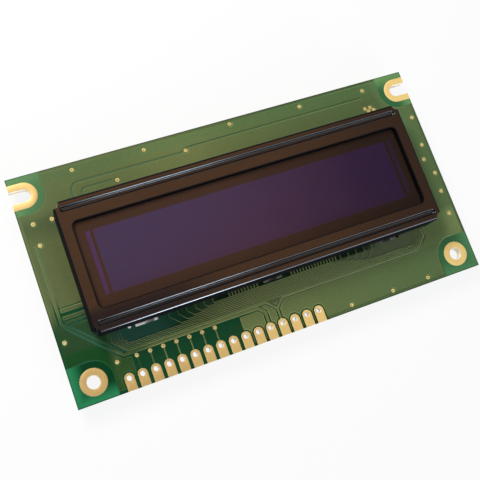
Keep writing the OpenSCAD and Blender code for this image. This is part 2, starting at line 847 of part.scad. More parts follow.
module boost_chip() {
    color("#1f2022") on_back(chip_place) translate([0, 0, copper_t + standoff]) slab(chip_w, chip_d, chip_h);
}

module boost_chip_leads() {
    color("#b9bcc0") on_back(chip_place) for (i = [-1:1])
        translate([i * lead_pitch, 0, 0]) rotate([0, 0, 90]) end_leads(chip_d, chip_h / 2, lead_w);
}

module inductor_shield() {
    bevel = inductor_w / 8;
    color("#4c4c50") on_back(inductor_place) translate([0, 0, copper_t + terminal_t])
        linear_extrude(inductor_h) difference() {
            polygon([for (a = [0:90:270], s = [-1, 1])
                let (x = inductor_r, y = s * (inductor_r - bevel))
                [x * cos(a) - y * sin(a), x * sin(a) + y * cos(a)]]);
            circle(drum_r + core_gap);
        }
}

module inductor_drum() {
    h = inductor_h;
    color("#3e3e42") on_back(inductor_place) translate([0, 0, copper_t + terminal_t]) rotate_extrude()
        polygon([
            [0, 0], [drum_r, 0], [drum_r, flange_t], [post_r, flange_t],
            [post_r, h - flange_t], [drum_r, h - flange_t], [drum_r, h], [0, h]
        ]);
}

module inductor_winding() {
    color("#b8733a") on_back(inductor_place) translate([0, 0, copper_t + terminal_t + flange_t])
        linear_extrude(inductor_h - 2 * flange_t) difference() {
            circle(drum_r - core_gap);
            circle(post_r);
        }
}

// Clips under the ends of the inductor, turned up at its sides
module inductor_terminals() {
    rise = inductor_h / 2;
    foot = inductor_r - drum_r + terminal_t;
    color("#b9bcc0") on_back(inductor_place) both_sides() translate([inductor_r, 0, copper_t]) {
        translate([-foot / 2 + terminal_t, 0, 0]) slab(foot, terminal_w, terminal_t);
        translate([terminal_t / 2, 0, 0]) slab(terminal_t, terminal_w, terminal_t + rise);
    }
}

module diode_body() {
    color("#1f2022") on_back(diode_place) translate([0, 0, copper_t]) slab(diode_w, chip_d, chip_h);
}

module diode_leads() {
    color("#b9bcc0") on_back(diode_place) end_leads(diode_w, chip_h / 2, diode_lead_w);
}

// Middle of a chip part, between its end caps
module chip_middle(size) {
    translate([0, 0, copper_t + end_cap_skin]) slab(size[0] - 2 * end_cap, size[1], size[2]);
}

module ceramic_capacitors() {
    color("#b79a72") {
        for (p = large_places) on_back(p) chip_middle(large_chip);
        for (p = small_places) on_back(p) chip_middle(small_chip);
    }
}

module chip_resistors() {
    color("#232428") for (p = resistor_places) on_back(p) chip_middle(resistor_chip);
}

module chip_end_caps() {
    skin = 2 * end_cap_skin;
    color("#c3c5c8") for (c = chip_sizes) on_back(c[0]) both_sides()
        translate([(c[1][0] - end_cap) / 2, 0, copper_t]) slab(end_cap, c[1][1] + skin, c[1][2] + skin);
}

// Wedges of solder against the end caps
module solder_fillets() {
    color("#cfd1d3") for (c = chip_sizes) on_back(c[0]) both_sides()
        translate([c[1][0] / 2, c[1][1] / 2, copper_t]) rotate([90, 0, 0])
            linear_extrude(c[1][1]) polygon([[0, 0], [fillet_len, 0], [0, c[1][2] * fillet_share]]);
}

module component_pads() {
    pad_len = end_cap + pad_reach;
    foot = lead_reach + lead_foot;
    color("#cfd1d3") {
        for (c = chip_sizes) on_back(c[0]) both_sides()
            translate([c[1][0] / 2 - end_cap + pad_len / 2, 0, 0]) slab(pad_len, c[1][1], copper_t);
        on_back(inductor_place) both_sides() translate([inductor_r, 0, 0]) slab(link_w, terminal_w, copper_t);
        on_back(diode_place) both_sides()
            translate([diode_w / 2 + foot / 2, 0, 0]) slab(foot, link_w, copper_t);
        on_back(chip_place) for (i = [-1:1], s = [-1, 1])
            translate([i * lead_pitch, s * (chip_d + foot) / 2, 0]) slab(lead_w, foot, copper_t);
    }
}

module jumper_pads() {
    color("#e0b860") for (p = jumper_places) on_back(p) both_sides()
        translate([(jumper_gap + jumper_size[0]) / 2, 0, 0]) slab(jumper_size[0], jumper_size[1], copper_t);
}

circuit_board();
front_copper();
back_copper();
header_pads();
mount_rings();
slot_rims();
via_dots();
contact_fingers();
bezel();
polarizer();
display_glass();
anode_columns();
organic_layer();
cathode_rows();
side_electrodes();
glass_seal();
rear_glass();
desiccant_sheet();
upper_zebra();
lower_zebra();
spacer_frame();
foam_strips();
controller_glob();
boost_chip();
boost_chip_leads();
inductor_shield();
inductor_drum();
inductor_winding();
inductor_terminals();
diode_body();
diode_leads();
ceramic_capacitors();
chip_resistors();
chip_end_caps();
solder_fillets();
component_pads();
jumper_pads();
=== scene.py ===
"""Looks of a character OLED display module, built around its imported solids.

Lengths are named in millimetres, as in the part's source, and turned into metres where meshes are made.
"""

import math
from functools import cached_property, reduce

import bmesh
import bpy
from mathutils import Matrix, Vector


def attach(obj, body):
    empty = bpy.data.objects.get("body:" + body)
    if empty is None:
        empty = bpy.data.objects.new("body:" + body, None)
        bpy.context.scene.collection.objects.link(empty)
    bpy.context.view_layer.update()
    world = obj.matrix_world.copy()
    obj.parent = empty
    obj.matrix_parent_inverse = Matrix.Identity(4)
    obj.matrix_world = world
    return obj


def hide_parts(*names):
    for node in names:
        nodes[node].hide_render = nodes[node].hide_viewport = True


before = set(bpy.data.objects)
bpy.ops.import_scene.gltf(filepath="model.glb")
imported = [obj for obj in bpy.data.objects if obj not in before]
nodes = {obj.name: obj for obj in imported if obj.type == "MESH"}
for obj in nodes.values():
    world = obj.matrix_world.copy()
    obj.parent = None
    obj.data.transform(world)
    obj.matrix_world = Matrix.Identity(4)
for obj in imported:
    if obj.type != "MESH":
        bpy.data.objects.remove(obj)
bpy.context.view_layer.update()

MM = 0.001

# Levels and places of the part
FACE_Z = 8.8
WALL_Z = 3.56
BACK_Z = 1.9
FRONT_Z = 3.5
BEZEL_Y = 1.53
HOLE = (38.0, -18.25)
SLOT = (39.5, 18.25)
BARE_R = 3.8
BOARD = (42.0, 22.0)

# Bezel sheet
BEZEL_W = 71.2
BEZEL_H = 24.9
SHEET_T = 0.4
FOLD_R = 0.55
CORNER_GAP = 1.2
WINDOW_W = 66.4
WINDOW_LOW = -8.38
WINDOW_HIGH = 8.02
WINDOW_R = 1.0
GROOVE_V = 10.77
GROOVE_HALF = 33.935
GROOVE_DEPTH = 0.5
GROOVE_R = 0.45
SHOULDER_R = 0.25
WARP_RIM = 0.12
TAB_PLACES = (-25.6, 0.0, 25.6)
TAB_W = 3.4
TAB_TWIST = math.radians(32)
RIM_R = 0.06
WINDOW_RING = 0.6

FLAT_U = BEZEL_W / 2 - FOLD_R
FLAT_V = BEZEL_H / 2 - FOLD_R
CHAMFER = CORNER_GAP - FOLD_R
WALL_HALF = (FLAT_U - CHAMFER - RIM_R, FLAT_V - CHAMFER - RIM_R)
BEND = FOLD_R * math.pi / 2
WALL_END = BEND + FACE_Z - FOLD_R - WALL_Z
TAB_END = WALL_END + WALL_Z
GROOVE_ANGLE = math.acos(1 - GROOVE_DEPTH / (GROOVE_R + SHOULDER_R))
GROOVE_REACH = (GROOVE_R + SHOULDER_R) * math.sin(GROOVE_ANGLE)
WINDOW_MID = (WINDOW_HIGH + WINDOW_LOW) / 2
WINDOW_HALF = Vector((WINDOW_W / 2, (WINDOW_HIGH - WINDOW_LOW) / 2))
# Width of the band of the face around the window that takes the black wall material, a painted dark line
WINDOW_BAND = WINDOW_RING / 3

# Outlines of the flat layout, drawn in by the rim's radius, and the ring of cells around the window
CUT_SUM = FLAT_U + FLAT_V - CHAMFER - RIM_R * math.sqrt(2)
SHEET_END = WALL_END - RIM_R
TAB_TIP = TAB_END - RIM_R
TAB_HALF = TAB_W / 2 - RIM_R
RING_U = WINDOW_W / 2 + WINDOW_RING
RING_LOW = WINDOW_LOW - WINDOW_RING
RING_HIGH = WINDOW_HIGH + WINDOW_RING

# Steps of the sheet's grid, and how far its even lines over the face reach
GROOVE_STEPS = 7
SHOULDER_STEPS = 5
BEND_STEPS = 8
WALL_STEPS = 4
NECK_STEPS = 2
TWIST_STEPS = 10
TAB_STEPS = 4
RIM_STEPS = 3
RING_STEPS = 5
FACE_STEPS = (32, 7)
FACE_REACH = (32, 7)

# Margins of comparisons, and the step over which slopes of the sheet are measured
SMALL = 1e-6
LINE_MARGIN = 1e-5
CUT_MARGIN = 1e-4
RING_MARGIN = 1e-3
PROBE = 2e-3

# A face of the bezel is matt where its normal rises less than this: on folds, on the lower fold, elsewhere
STEEP_FOLD = 0.96
STEEP_LOW_FOLD = 0.7
STEEP_FACE = 0.25


def steps(start, end, count):
    """Even steps from start to end, with both."""
    return [start + (end - start) * i / count for i in range(count + 1)]


def full_turn(count):
    """Angles of even steps around a circle."""
    return [2 * math.pi * k / count for k in range(count)]


def around(turns, radius):
    """Points of a circle at the given angles."""
    return [Vector((math.cos(a), math.sin(a))) * radius for a in turns]


def bridge(mesh, rows):
    """Faces between each closed row of points and the next."""
    for a, b in zip(rows, rows[1:]):
        for k in range(len(a)):
            mesh.faces.new((a[k - 1], b[k - 1], b[k], a[k]))


def link_piece(name, data):
    """Adds an object to the scene."""
    piece = bpy.data.objects.new(name, data)
    bpy.context.scene.collection.objects.link(piece)
    return piece


# Bezel: one sheet laid out flat in (u, v), then grooved, folded and twisted


def groove_reaches():
    """Distances from a groove's middle line at which its section is cut."""
    inner = [GROOVE_R * math.sin(a) for a in steps(0, GROOVE_ANGLE, GROOVE_STEPS)]
    outer = [GROOVE_REACH - SHOULDER_R * math.sin(a) for a in steps(GROOVE_ANGLE, 0, SHOULDER_STEPS)]
    return inner + outer[1:]


def groove_drop(distance):
    """Depth of a groove at a distance from its middle line."""
    if distance >= GROOVE_REACH:
        return 0.0
    if distance <= GROOVE_R * math.sin(GROOVE_ANGLE):
        return GROOVE_DEPTH - GROOVE_R + math.sqrt(GROOVE_R**2 - distance**2)
    return SHOULDER_R - math.sqrt(SHOULDER_R**2 - (GROOVE_REACH - distance) ** 2)


def round_end(du, dv):
    """Moves a point near a groove's end from square rings onto round ones."""
    reach = max(du, abs(dv))
    limit = GROOVE_REACH + WARP_RIM
    if du <= 0 or reach >= limit:
        return du, dv
    if du >= abs(dv):
        angle = math.pi / 4 * dv / du
    else:
        angle = math.copysign(math.pi / 2 - math.pi / 4 * du / abs(dv), dv)
    share = max(0.0, (reach - GROOVE_REACH) / WARP_RIM)
    x, y = reach * math.cos(angle), reach * math.sin(angle)
    return x + (du - x) * share, y + (dv - y) * share


def face_point(u, v):
    """Point of the flat face, with the grooves pressed into it."""
    side, row = math.copysign(1, u), math.copysign(1, v)
    du, dv = round_end(abs(u) - GROOVE_HALF, v - row * GROOVE_V)
    x, y = side * (GROOVE_HALF + du), row * GROOVE_V + dv
    return x, y, groove_drop(math.hypot(max(du, 0), dv))


def fold(distance):
    """Reach, drop and tilt of a point this far beyond the start of a fold."""
    if distance <= BEND:
        angle = distance / FOLD_R
        return FOLD_R * math.sin(angle), FOLD_R * (1 - math.cos(angle)), angle
    return FOLD_R, FOLD_R + distance - BEND, math.pi / 2


def twist_tab(point, drop):
    """Turns a point of a tab below the board about the tab's own axis."""
    depth = drop - (FACE_Z - BACK_Z)
    if depth <= 0:
        return point
    place = min(TAB_PLACES, key=lambda t: abs(t - point.x))
    axis = Vector((place, math.copysign(BEZEL_H / 2 - SHEET_T / 2, point.y), 0))
    turn = Matrix.Rotation(-TAB_TWIST * depth / BACK_Z, 3, "Z")
    return turn @ (point - axis) + axis


def sheet_points(u, v):
    """Outer and inner point of the sheet at (u, v), from the middle of the bezel's face."""
    if abs(v) > FLAT_V + SMALL:
        side = math.copysign(1, v)
        reach, drop, angle = fold(abs(v) - FLAT_V)
        outer = Vector((u, side * (FLAT_V + reach), -drop))
        inner = outer - SHEET_T * Vector((0, side * math.sin(angle), math.cos(angle)))
        return twist_tab(outer, drop), twist_tab(inner, drop)
    if abs(u) > FLAT_U + SMALL:
        side = math.copysign(1, u)
        reach, drop, angle = fold(abs(u) - FLAT_U)
        outer = Vector((side * (FLAT_U + reach), v, -drop))
        return outer, outer - SHEET_T * Vector((side * math.sin(angle), 0, math.cos(angle)))
    x, y, drop = face_point(u, v)
    return Vector((x, y, -drop)), Vector((x, y, -drop - SHEET_T))


def both(values):
    """The values and their opposites."""
    return [s * x for x in values for s in (-1, 1)]


def lines(values):
    """Sorted grid lines without repeats."""
    kept = []
    for value in sorted(values):
        if not kept or value - kept[-1] > LINE_MARGIN:
            kept.append(value)
    return kept


def grid_lines():
    """Lines of the flat layout, so that every outline runs along them or through their crossings.

    The outlines are drawn in by the rim's radius, and the rims are added to them later.
    """
    reaches = groove_reaches() + [GROOVE_REACH + WARP_RIM]
    bend = steps(0, BEND, BEND_STEPS)
    wall = steps(BEND, SHEET_END, WALL_STEPS)
    neck = steps(SHEET_END, TAB_END - BACK_Z, NECK_STEPS)
    twist = steps(TAB_END - BACK_Z, TAB_TIP, TWIST_STEPS)
    us = [GROOVE_HALF + r for r in reaches] + [WALL_HALF[0]]
    vs = [GROOVE_V + r for r in reaches] + [GROOVE_V - r for r in reaches] + [WALL_HALF[1]]
    us += [CUT_SUM - v for v in vs + [FLAT_V] if WALL_HALF[0] < CUT_SUM - v < FLAT_U]
    vs += [CUT_SUM - u for u in us + [FLAT_U] if WALL_HALF[1] < CUT_SUM - u < FLAT_V]
    us += steps(RING_U - WINDOW_RING - WINDOW_R, RING_U, RING_STEPS)
    us += [FLAT_U + b for b in bend + wall]
    vs += [FLAT_V + b for b in bend + wall + neck + twist]
    us = both(us) + steps(-FACE_REACH[0], FACE_REACH[0], FACE_STEPS[0])
    for place in TAB_PLACES:
        us += steps(place - TAB_HALF, place + TAB_HALF, TAB_STEPS)
    vs = both(vs) + steps(-FACE_REACH[1], FACE_REACH[1], FACE_STEPS[1])
    vs += steps(WINDOW_HIGH - WINDOW_R, RING_HIGH, RING_STEPS)
    vs += steps(RING_LOW, WINDOW_LOW + WINDOW_R, RING_STEPS)
    return lines(us), lines(vs)


def on_cut(u, v):
    """Whether a point lies on the cut of an open corner."""
    inside = abs(u) < FLAT_U + SMALL and abs(v) < FLAT_V + SMALL
    return inside and abs(abs(u) + abs(v) - CUT_SUM) < CUT_MARGIN


def in_sheet(u, v):
    """Whether the middle of a grid cell belongs to the sheet."""
    if abs(v) > FLAT_V:
        if abs(v) < FLAT_V + SHEET_END:
            return abs(u) < WALL_HALF[0]
        return any(abs(u - place) < TAB_HALF for place in TAB_PLACES)
    if abs(u) > FLAT_U:
        return abs(v) < WALL_HALF[1]
    at_window = abs(u) < RING_U and RING_LOW < v < RING_HIGH
    return not at_window and abs(u) + abs(v) < CUT_SUM


def cell_corners(us, vs, i, j):
    """Corners of the part of a grid cell that belongs to the sheet, or none."""
    ring = [(i, j), (i + 1, j), (i + 1, j + 1), (i, j + 1)]
    spots = [(us[a], vs[b]) for a, b in ring]
    for k in range(4):
        if on_cut(*spots[k - 1]) and on_cut(*spots[(k + 1) % 4]):
            return [ring[m % 4] for m in (k - 1, k, k + 1)] if in_sheet(*spots[k]) else []
    middle = (sum(s[0] for s in spots) / 4, sum(s[1] for s in spots) / 4)
    return ring if in_sheet(*middle) else []


def rim_loops(edges):
    """Joins directed edges into closed loops."""
    after = dict(edges)
    loops = []
    while after:
        loop = [next(iter(after))]
        while loop[-1] in after:
            loop.append(after.pop(loop[-1]))
        loops.append(loop[:-1])
    return loops


def outward(spots):
    """Directions in the layout that lead out of the sheet, drawn longer at corners."""
    ways = []
    for k, spot in enumerate(spots):
        sides = []
        for a, b in ((spots[k - 1], spot), (spot, spots[(k + 1) % len(spots)])):
            way = Vector((b[1] - a[1], a[0] - b[0]))
            sides.append(way.normalized())
        ways.append((sides[0] + sides[1]) / (1 + sides[0].dot(sides[1])))
    return ways


def window_spot(u, v):
    """Point of the window's outline for a point of the ring around it, and the way into the window."""
    half, rise = WINDOW_HALF, v - WINDOW_MID
    reach = Vector((abs(u), abs(rise))) - half + Vector((WINDOW_R, WINDOW_R))
    span = WINDOW_R + WINDOW_RING
    if reach.y <= 0:
        way = Vector((1, 0))
    elif reach.x <= 0:
        way = Vector((0, 1))
    else:
        turn = reach.y / span if reach.x > span - RING_MARGIN else 2 - reach.x / span
        way = Vector((math.cos(math.pi / 4 * turn), math.sin(math.pi / 4 * turn)))
    start = Vector((min(abs(u), half.x - WINDOW_R), min(abs(rise), half.y - WINDOW_R)))
    spot = start + WINDOW_R * way
    signs = Vector((math.copysign(1, u), math.copysign(1, rise)))
    return spot * signs + Vector((0, WINDOW_MID)), -(way * signs)


def sheet_normal(u, v, under):
    """Outward normal of the sheet's outer or inner face."""
    along = sheet_points(u + PROBE, v)[under] - sheet_points(u - PROBE, v)[under]
    across = sheet_points(u, v + PROBE)[under] - sheet_points(u, v - PROBE)[under]
    normal = along.cross(across).normalized()
    return -normal if under else normal


class Sheet:
    """Mesh of the bezel while it grows, with the normal of each of its points."""

    def __init__(self):
        self.mesh = bmesh.new()
        self.normals = []

    def point(self, place, normal):
        """New point, at a place given from the middle of the bezel's face."""
        self.normals.append(normal)
        return self.mesh.verts.new((place + Vector((0, BEZEL_Y, FACE_Z))) * MM)

    def rim_row(self, spots, ways, angle, under):
        """Row of points on a rounded rim, at an angle from the sheet's outer or inner face."""
        row = []
        for spot, way in zip(spots, ways):
            u, v = spot + way * RIM_R * math.sin(angle)
            pair = sheet_points(u, v)
            near, far = pair[under], pair[1 - under]
            place = near + (far - near) * RIM_R * (1 - math.cos(angle)) / SHEET_T
            unit = way.normalized() * PROBE
            side = (sheet_points(u + unit.x, v + unit.y)[under] - near).normalized()
            normal = (near - far).normalized() * math.cos(angle) + side * math.sin(angle)
            row.append(self.point(place, normal))
        return row

    def flat_row(self, spots, under):
        """Row of points on the sheet's outer or inner face."""
        return [self.point(sheet_points(*s)[under], sheet_normal(*s, under)) for s in spots]


def is_wall(face):
    """Whether a face of the bezel above the board is matt: on a wall, low on a fold, or in a band of the
    face around the window, where the black wall material is a painted dark line.
    """
    x, y, z = face.center / MM - Vector((0, BEZEL_Y, 0))
    if z < FRONT_Z:
        return False
    if abs(x) > FLAT_U or y > FLAT_V:
        steep = STEEP_FOLD
    else:
        steep = STEEP_LOW_FOLD if y < -FLAT_V else STEEP_FACE
    across = max(abs(x) - WINDOW_HALF.x + WINDOW_R, 0)
    up = max(abs(y - WINDOW_MID) - WINDOW_HALF.y + WINDOW_R, 0)
    # The band around the window: a painted dark line along its edge.
    at_window = math.hypot(across, up) < WINDOW_R + WINDOW_BAND
    return at_window or abs(face.normal.z) < steep


def in_ring(spot):
    """Whether a point lies on the ring around the window."""
    return abs(spot.x) < RING_U + SMALL and RING_LOW - SMALL < spot.y < RING_HIGH + SMALL


def build_bezel():
    """The sheet's two faces on the grid, joined by rounded rims along every outline."""
    us, vs = grid_lines()
    sheet = Sheet()
    faces = ({}, {})

    def corner(key):
        if key not in faces[0]:
            spot = us[key[0]], vs[key[1]]
            for under in (0, 1):
                faces[under][key] = sheet.point(sheet_points(*spot)[under], sheet_normal(*spot, under))
        return key

    edges = {}
    for i in range(len(us) - 1):
        for j in range(len(vs) - 1):
            keys = [corner(k) for k in cell_corners(us, vs, i, j)]
            if keys:
                sheet.mesh.faces.new([faces[0][k] for k in keys])
                sheet.mesh.faces.new([faces[1][k] for k in reversed(keys)])
                for a, b in zip(keys, keys[1:] + keys[:1]):
                    edges[a, b] = True
    open_edges = [edge for edge in edges if edge[::-1] not in edges]
    angles = steps(0, math.pi / 2, RIM_STEPS)
    for loop in rim_loops(open_edges):
        spots = [Vector((us[i], vs[j])) for i, j in loop]
        rows = [[faces[0][k] for k in loop]]
        last = [faces[1][k] for k in loop]
        bands = []
        if all(in_ring(s) for s in spots):
            pairs = [window_spot(*s) for s in spots]
            ways = [way for _, way in pairs]
            ring = [spot - way * WINDOW_BAND for spot, way in pairs]
            spots = [spot - way * RIM_R for spot, way in pairs]
            bands = [ring, spots]
        else:
            ways = outward(spots)
        rows += [sheet.flat_row(band, 0) for band in bands]
        rows += [sheet.rim_row(spots, ways, a, 0) for a in angles[1:]]
        rows += [sheet.rim_row(spots, ways, a, 1) for a in angles[:0:-1]]
        rows += [sheet.flat_row(band, 1) for band in reversed(bands)]
        bridge(sheet.mesh, rows + [last])
    for face in sheet.mesh.faces:
        face.smooth = True
    sheet.mesh.verts.index_update()
    data = bpy.data.meshes.new("bezel_sheet")
    sheet.mesh.to_mesh(data)
    sheet.mesh.free()
    data.normals_split_custom_set_from_vertices(sheet.normals)
    for face in data.polygons:
        face.material_index = int(is_wall(face))
    piece = link_piece("bezel_sheet", data)
    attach(piece, "root")
    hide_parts("bezel")
    return piece


# Plated pieces: skins around each hole of the board, with rounded rims

# Thickness of the platings, radius of their rims, and inset of a rim's middle point
PLATE = 0.06
PLATE_R = 0.035
PLATE_SOFT = 0.3 * PLATE_R

PLATE_TOP = FRONT_Z + PLATE
PLATE_LOW = BACK_Z - PLATE
PITCH = 2.54
PAD_COUNT = 16
PAD_START = -31.84
PAD_Y = -19.7
PADS = [(PAD_START + PITCH * i, PAD_Y) for i in range(PAD_COUNT)]
PAD_W = 1.85
PAD_HOLE_R = 0.5
MOUNT_R = 2.5
HOLE_R = 1.25
SLOT_R = 1.25
SLOT_RIM = 1.25
VIA_R = 0.4
VIA_HOLE_R = 0.15
HEAD_STEPS = 24
PAD_STEPS = 8
MOUNT_STEPS = 64
VIA_STEPS = 24
SLOT_STEPS = 32
CREASE = math.radians(38)


def new_piece(name, mesh, node):
    """Turns a mesh into a piece that stands for a CAD node."""
    bmesh.ops.recalc_face_normals(mesh, faces=mesh.faces)
    for face in mesh.faces:
        face.smooth = True
    data = bpy.data.meshes.new(name)
    mesh.to_mesh(data)
    mesh.free()
    data.set_sharp_from_angle(angle=CREASE)
    piece = link_piece(name, data)
    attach(piece, "root")
    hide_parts(node)
    return piece


def plate_section():
    """Section of a plated land and barrel, as rows of outline, inset and level.

    Outline 0 is the hole's wall and 1 is the land's edge; the inset leads into the plating from there.
    """
    r, soft, top, low = PLATE_R, PLATE_SOFT, PLATE_TOP, PLATE_LOW
    return [
        (1, 0, FRONT_Z), (1, 0, top - r), (1, soft, top - soft), (1, r, top),
        (0, r, top), (0, soft, top - soft), (0, 0, top - r),
        (0, 0, low + r), (0, soft, low + soft), (0, r, low),
        (1, r, low), (1, soft, low + soft), (1, 0, low + r), (1, 0, BACK_Z),
        (0, PLATE, BACK_Z), (0, PLATE, FRONT_Z),
    ]


def plate(mesh, place, outline, hole):
    """Closed skin of a plated hole. The outline is a function that gives the land's points for an inset."""
    rows = []
    turns = [math.atan2(q.y, q.x) for q in outline(0)]
    for at_edge, inset, z in plate_section():
        spots = outline(inset) if at_edge else around(turns, hole + inset)
        rows.append([mesh.verts.new(Vector((place[0] + q.x, place[1] + q.y, z)) * MM) for q in spots])
    bridge(mesh, rows + rows[:1])


def round_land(radius, count):
    """Outline of a round land."""
    return lambda inset: around(full_turn(count), radius - inset)


def pad_land(inset):
    """Outline of a header pad around its hole: a round head above, square at the board's edge."""
    half = PAD_W / 2 - inset
    foot = -BOARD[1] - PAD_Y + inset
    head = around(steps(0, math.pi, HEAD_STEPS), half)
    left = [Vector((-half, y)) for y in steps(0, foot, PAD_STEPS)[1:]]
    low = [Vector((x, foot)) for x in steps(-half, half, PAD_STEPS)[1:]]
    right = [Vector((half, y)) for y in steps(foot, 0, PAD_STEPS)[1:-1]]
    return head + left + low + right


def build_slot_rims():
    """The two U-shaped rims, each one section drawn along its slot."""
    mesh = bmesh.new()
    r, soft, top, low, wide = PLATE_R, PLATE_SOFT, PLATE_TOP, PLATE_LOW, SLOT_RIM
    section = [
        (0, top - r), (soft, top - soft), (r, top), (wide - r, top),
        (wide - soft, top - soft), (wide, top - r), (wide, FRONT_Z),
        (PLATE, FRONT_Z), (PLATE, BACK_Z), (wide, BACK_Z), (wide, low + r),
        (wide - soft, low + soft), (wide - r, low), (r, low), (soft, low + soft), (0, low + r),
    ]
    ends = (-1, SLOT_STEPS + 1)
    for side in (-1, 1):
        rows = []
        for step in range(ends[0], ends[1] + 1):
            turn = math.pi / 2 + math.pi * min(max(step, 0), SLOT_STEPS) / SLOT_STEPS
            x = BOARD[0] if step in ends else SLOT[0]
            ring = []
            for out, z in section:
                reach = SLOT_R + out
                along = 0 if step in ends else math.cos(turn) * reach
                spot = (side * (x + along), SLOT[1] + math.sin(turn) * reach, z)
                ring.append(mesh.verts.new(Vector(spot) * MM))
            rows.append(ring)
        bridge(mesh, rows)
        mesh.faces.new(rows[0])
        mesh.faces.new(rows[-1])
    return new_piece("slot_rim_plating", mesh, "slot_rims")


VIA_ROW_Y = -16.26
VIAS = (
    [(x, VIA_ROW_Y) for x, _ in PADS[1:8]]
    + [(-29.7, 20.5), (-15.5, 20.5), (2.6, 20.9), (17.9, 20.5), (-7.7, 18.1), (-22.2, 16.2)]
    + [(32.3, 20.1), (31.4, 16.2), (32.0, 15.55), (32.6, 16.2), (33.2, 15.55), (40.75, 11.6)]
    + [(-39.5, 12.5), (-39.5, 8.3), (-36.0, 12.5)]
    + [(40.45, 5.4), (39.6, 2.3), (40.8, -1.1), (40.5, -5.1)]
    + [(13.0, -20.9), (22.2, -21.0), (30.3, -20.9), (40.2, -10.0), (-40.7, -10.0), (-33.0, -16.3)]
)


def build_plates():
    """Platings of the pads, mounting holes, vias and slots."""
    pads, rings, vias = bmesh.new(), bmesh.new(), bmesh.new()
    for place in PADS:
        plate(pads, place, pad_land, PAD_HOLE_R)
    for side in (-1, 1):
        plate(rings, (side * HOLE[0], HOLE[1]), round_land(MOUNT_R, MOUNT_STEPS), HOLE_R)
    for place in VIAS:
        plate(vias, place, round_land(VIA_R, VIA_STEPS), VIA_HOLE_R)
    return [
        new_piece("pad_plating", pads, "header_pads"),
        new_piece("ring_plating", rings, "mount_rings"),
        new_piece("via_plating", vias, "via_dots"),
        build_slot_rims(),
    ]


# Mask over the copper: the copper's own outline, with a slope along every edge

SLOPE_MOST = 0.13
SLOPE_SHARE = 0.3
EASE_ROUNDS = 10
EASE_SHARE = 0.5

# A face stands where its normal's rise is less than this
STANDING = 0.5

# Distance in metres within which points are joined
JOIN = 1e-7


def islands(mesh):
    """Groups of joined faces, in the mesh's own order."""
    seen = set()
    for start in mesh.faces:
        if start in seen:
            continue
        seen.add(start)
        group = [start]
        for face in group:
            for other in [f for e in face.edges for f in e.link_faces]:
                if other not in seen:
                    seen.add(other)
                    group.append(other)
        yield group


def turned(face):
    """Twice the area of a face seen from above, negative when it goes round clockwise."""
    start = face.verts[0].co
    arms = [v.co - start for v in face.verts[1:]]
    return sum(p.x * q.y - q.x * p.y for p, q in zip(arms, arms[1:]))


def ease(tops, slopes, way):
    """Draws a slope back towards its outline wherever it would cross another one."""
    homes = {}
    for face in slopes:
        for edge in face.edges:
            a, b = edge.verts
            if a.is_boundary != b.is_boundary:
                inner, outer = (b, a) if a.is_boundary else (a, b)
                homes[inner] = outer.co.copy()
    for _ in range(EASE_ROUNDS):
        crossed = set()
        for face in tops + slopes:
            if turned(face) * way < 0:
                crossed |= homes.keys() & set(face.verts)
        for face in slopes:
            pair = [v for v in face.verts if v in homes]
            if len(pair) == 2 and (pair[1].co - pair[0].co).dot(homes[pair[1]] - homes[pair[0]]) <= 0:
                crossed |= set(pair)
        if not crossed:
            return
        for vert in crossed:
            vert.co = vert.co.lerp(homes[vert], EASE_SHARE)


def build_mask(name, node, upper, lower):
    """Closed skins whose tops are drawn in by a slope that suits each island's width."""
    mesh = bmesh.new()
    mesh.from_mesh(nodes[node].data)
    bmesh.ops.remove_doubles(mesh, verts=mesh.verts, dist=JOIN)
    way = 1 if upper > lower else -1
    sides = [f for f in mesh.faces if abs(f.normal.z) < STANDING]
    bmesh.ops.delete(mesh, geom=sides, context="FACES_ONLY")
    for group in [g for g in islands(mesh) if g[0].normal.z * way > 0]:
        area = sum(f.calc_area() for f in group)
        rim = [e for f in group for e in f.edges if e.is_boundary]
        width = 2 * area / sum(e.calc_length() for e in rim)
        slope = min(SLOPE_MOST * MM, SLOPE_SHARE * width)
        made = bmesh.ops.inset_region(
            mesh, faces=group, thickness=slope, use_boundary=True, use_even_offset=True
        )
        ease(group, made["faces"], way)
        for vert in {v for f in made["faces"] for v in f.verts if v.is_boundary}:
            vert.co.z = lower * MM
    bmesh.ops.remove_doubles(mesh, verts=mesh.verts, dist=JOIN)
    bmesh.ops.dissolve_degenerate(mesh, dist=JOIN, edges=mesh.edges)
    bmesh.ops.delete(mesh, geom=[e for e in mesh.edges if not e.link_faces], context="EDGES")
    piece = new_piece(name, mesh, node)
    piece.data.shade_flat()
    return piece


# Materials

# Numbers of the sockets of a node that mixes colours
MIX_FIRST = 6
MIX_SECOND = 7
MIX_RESULT = 2


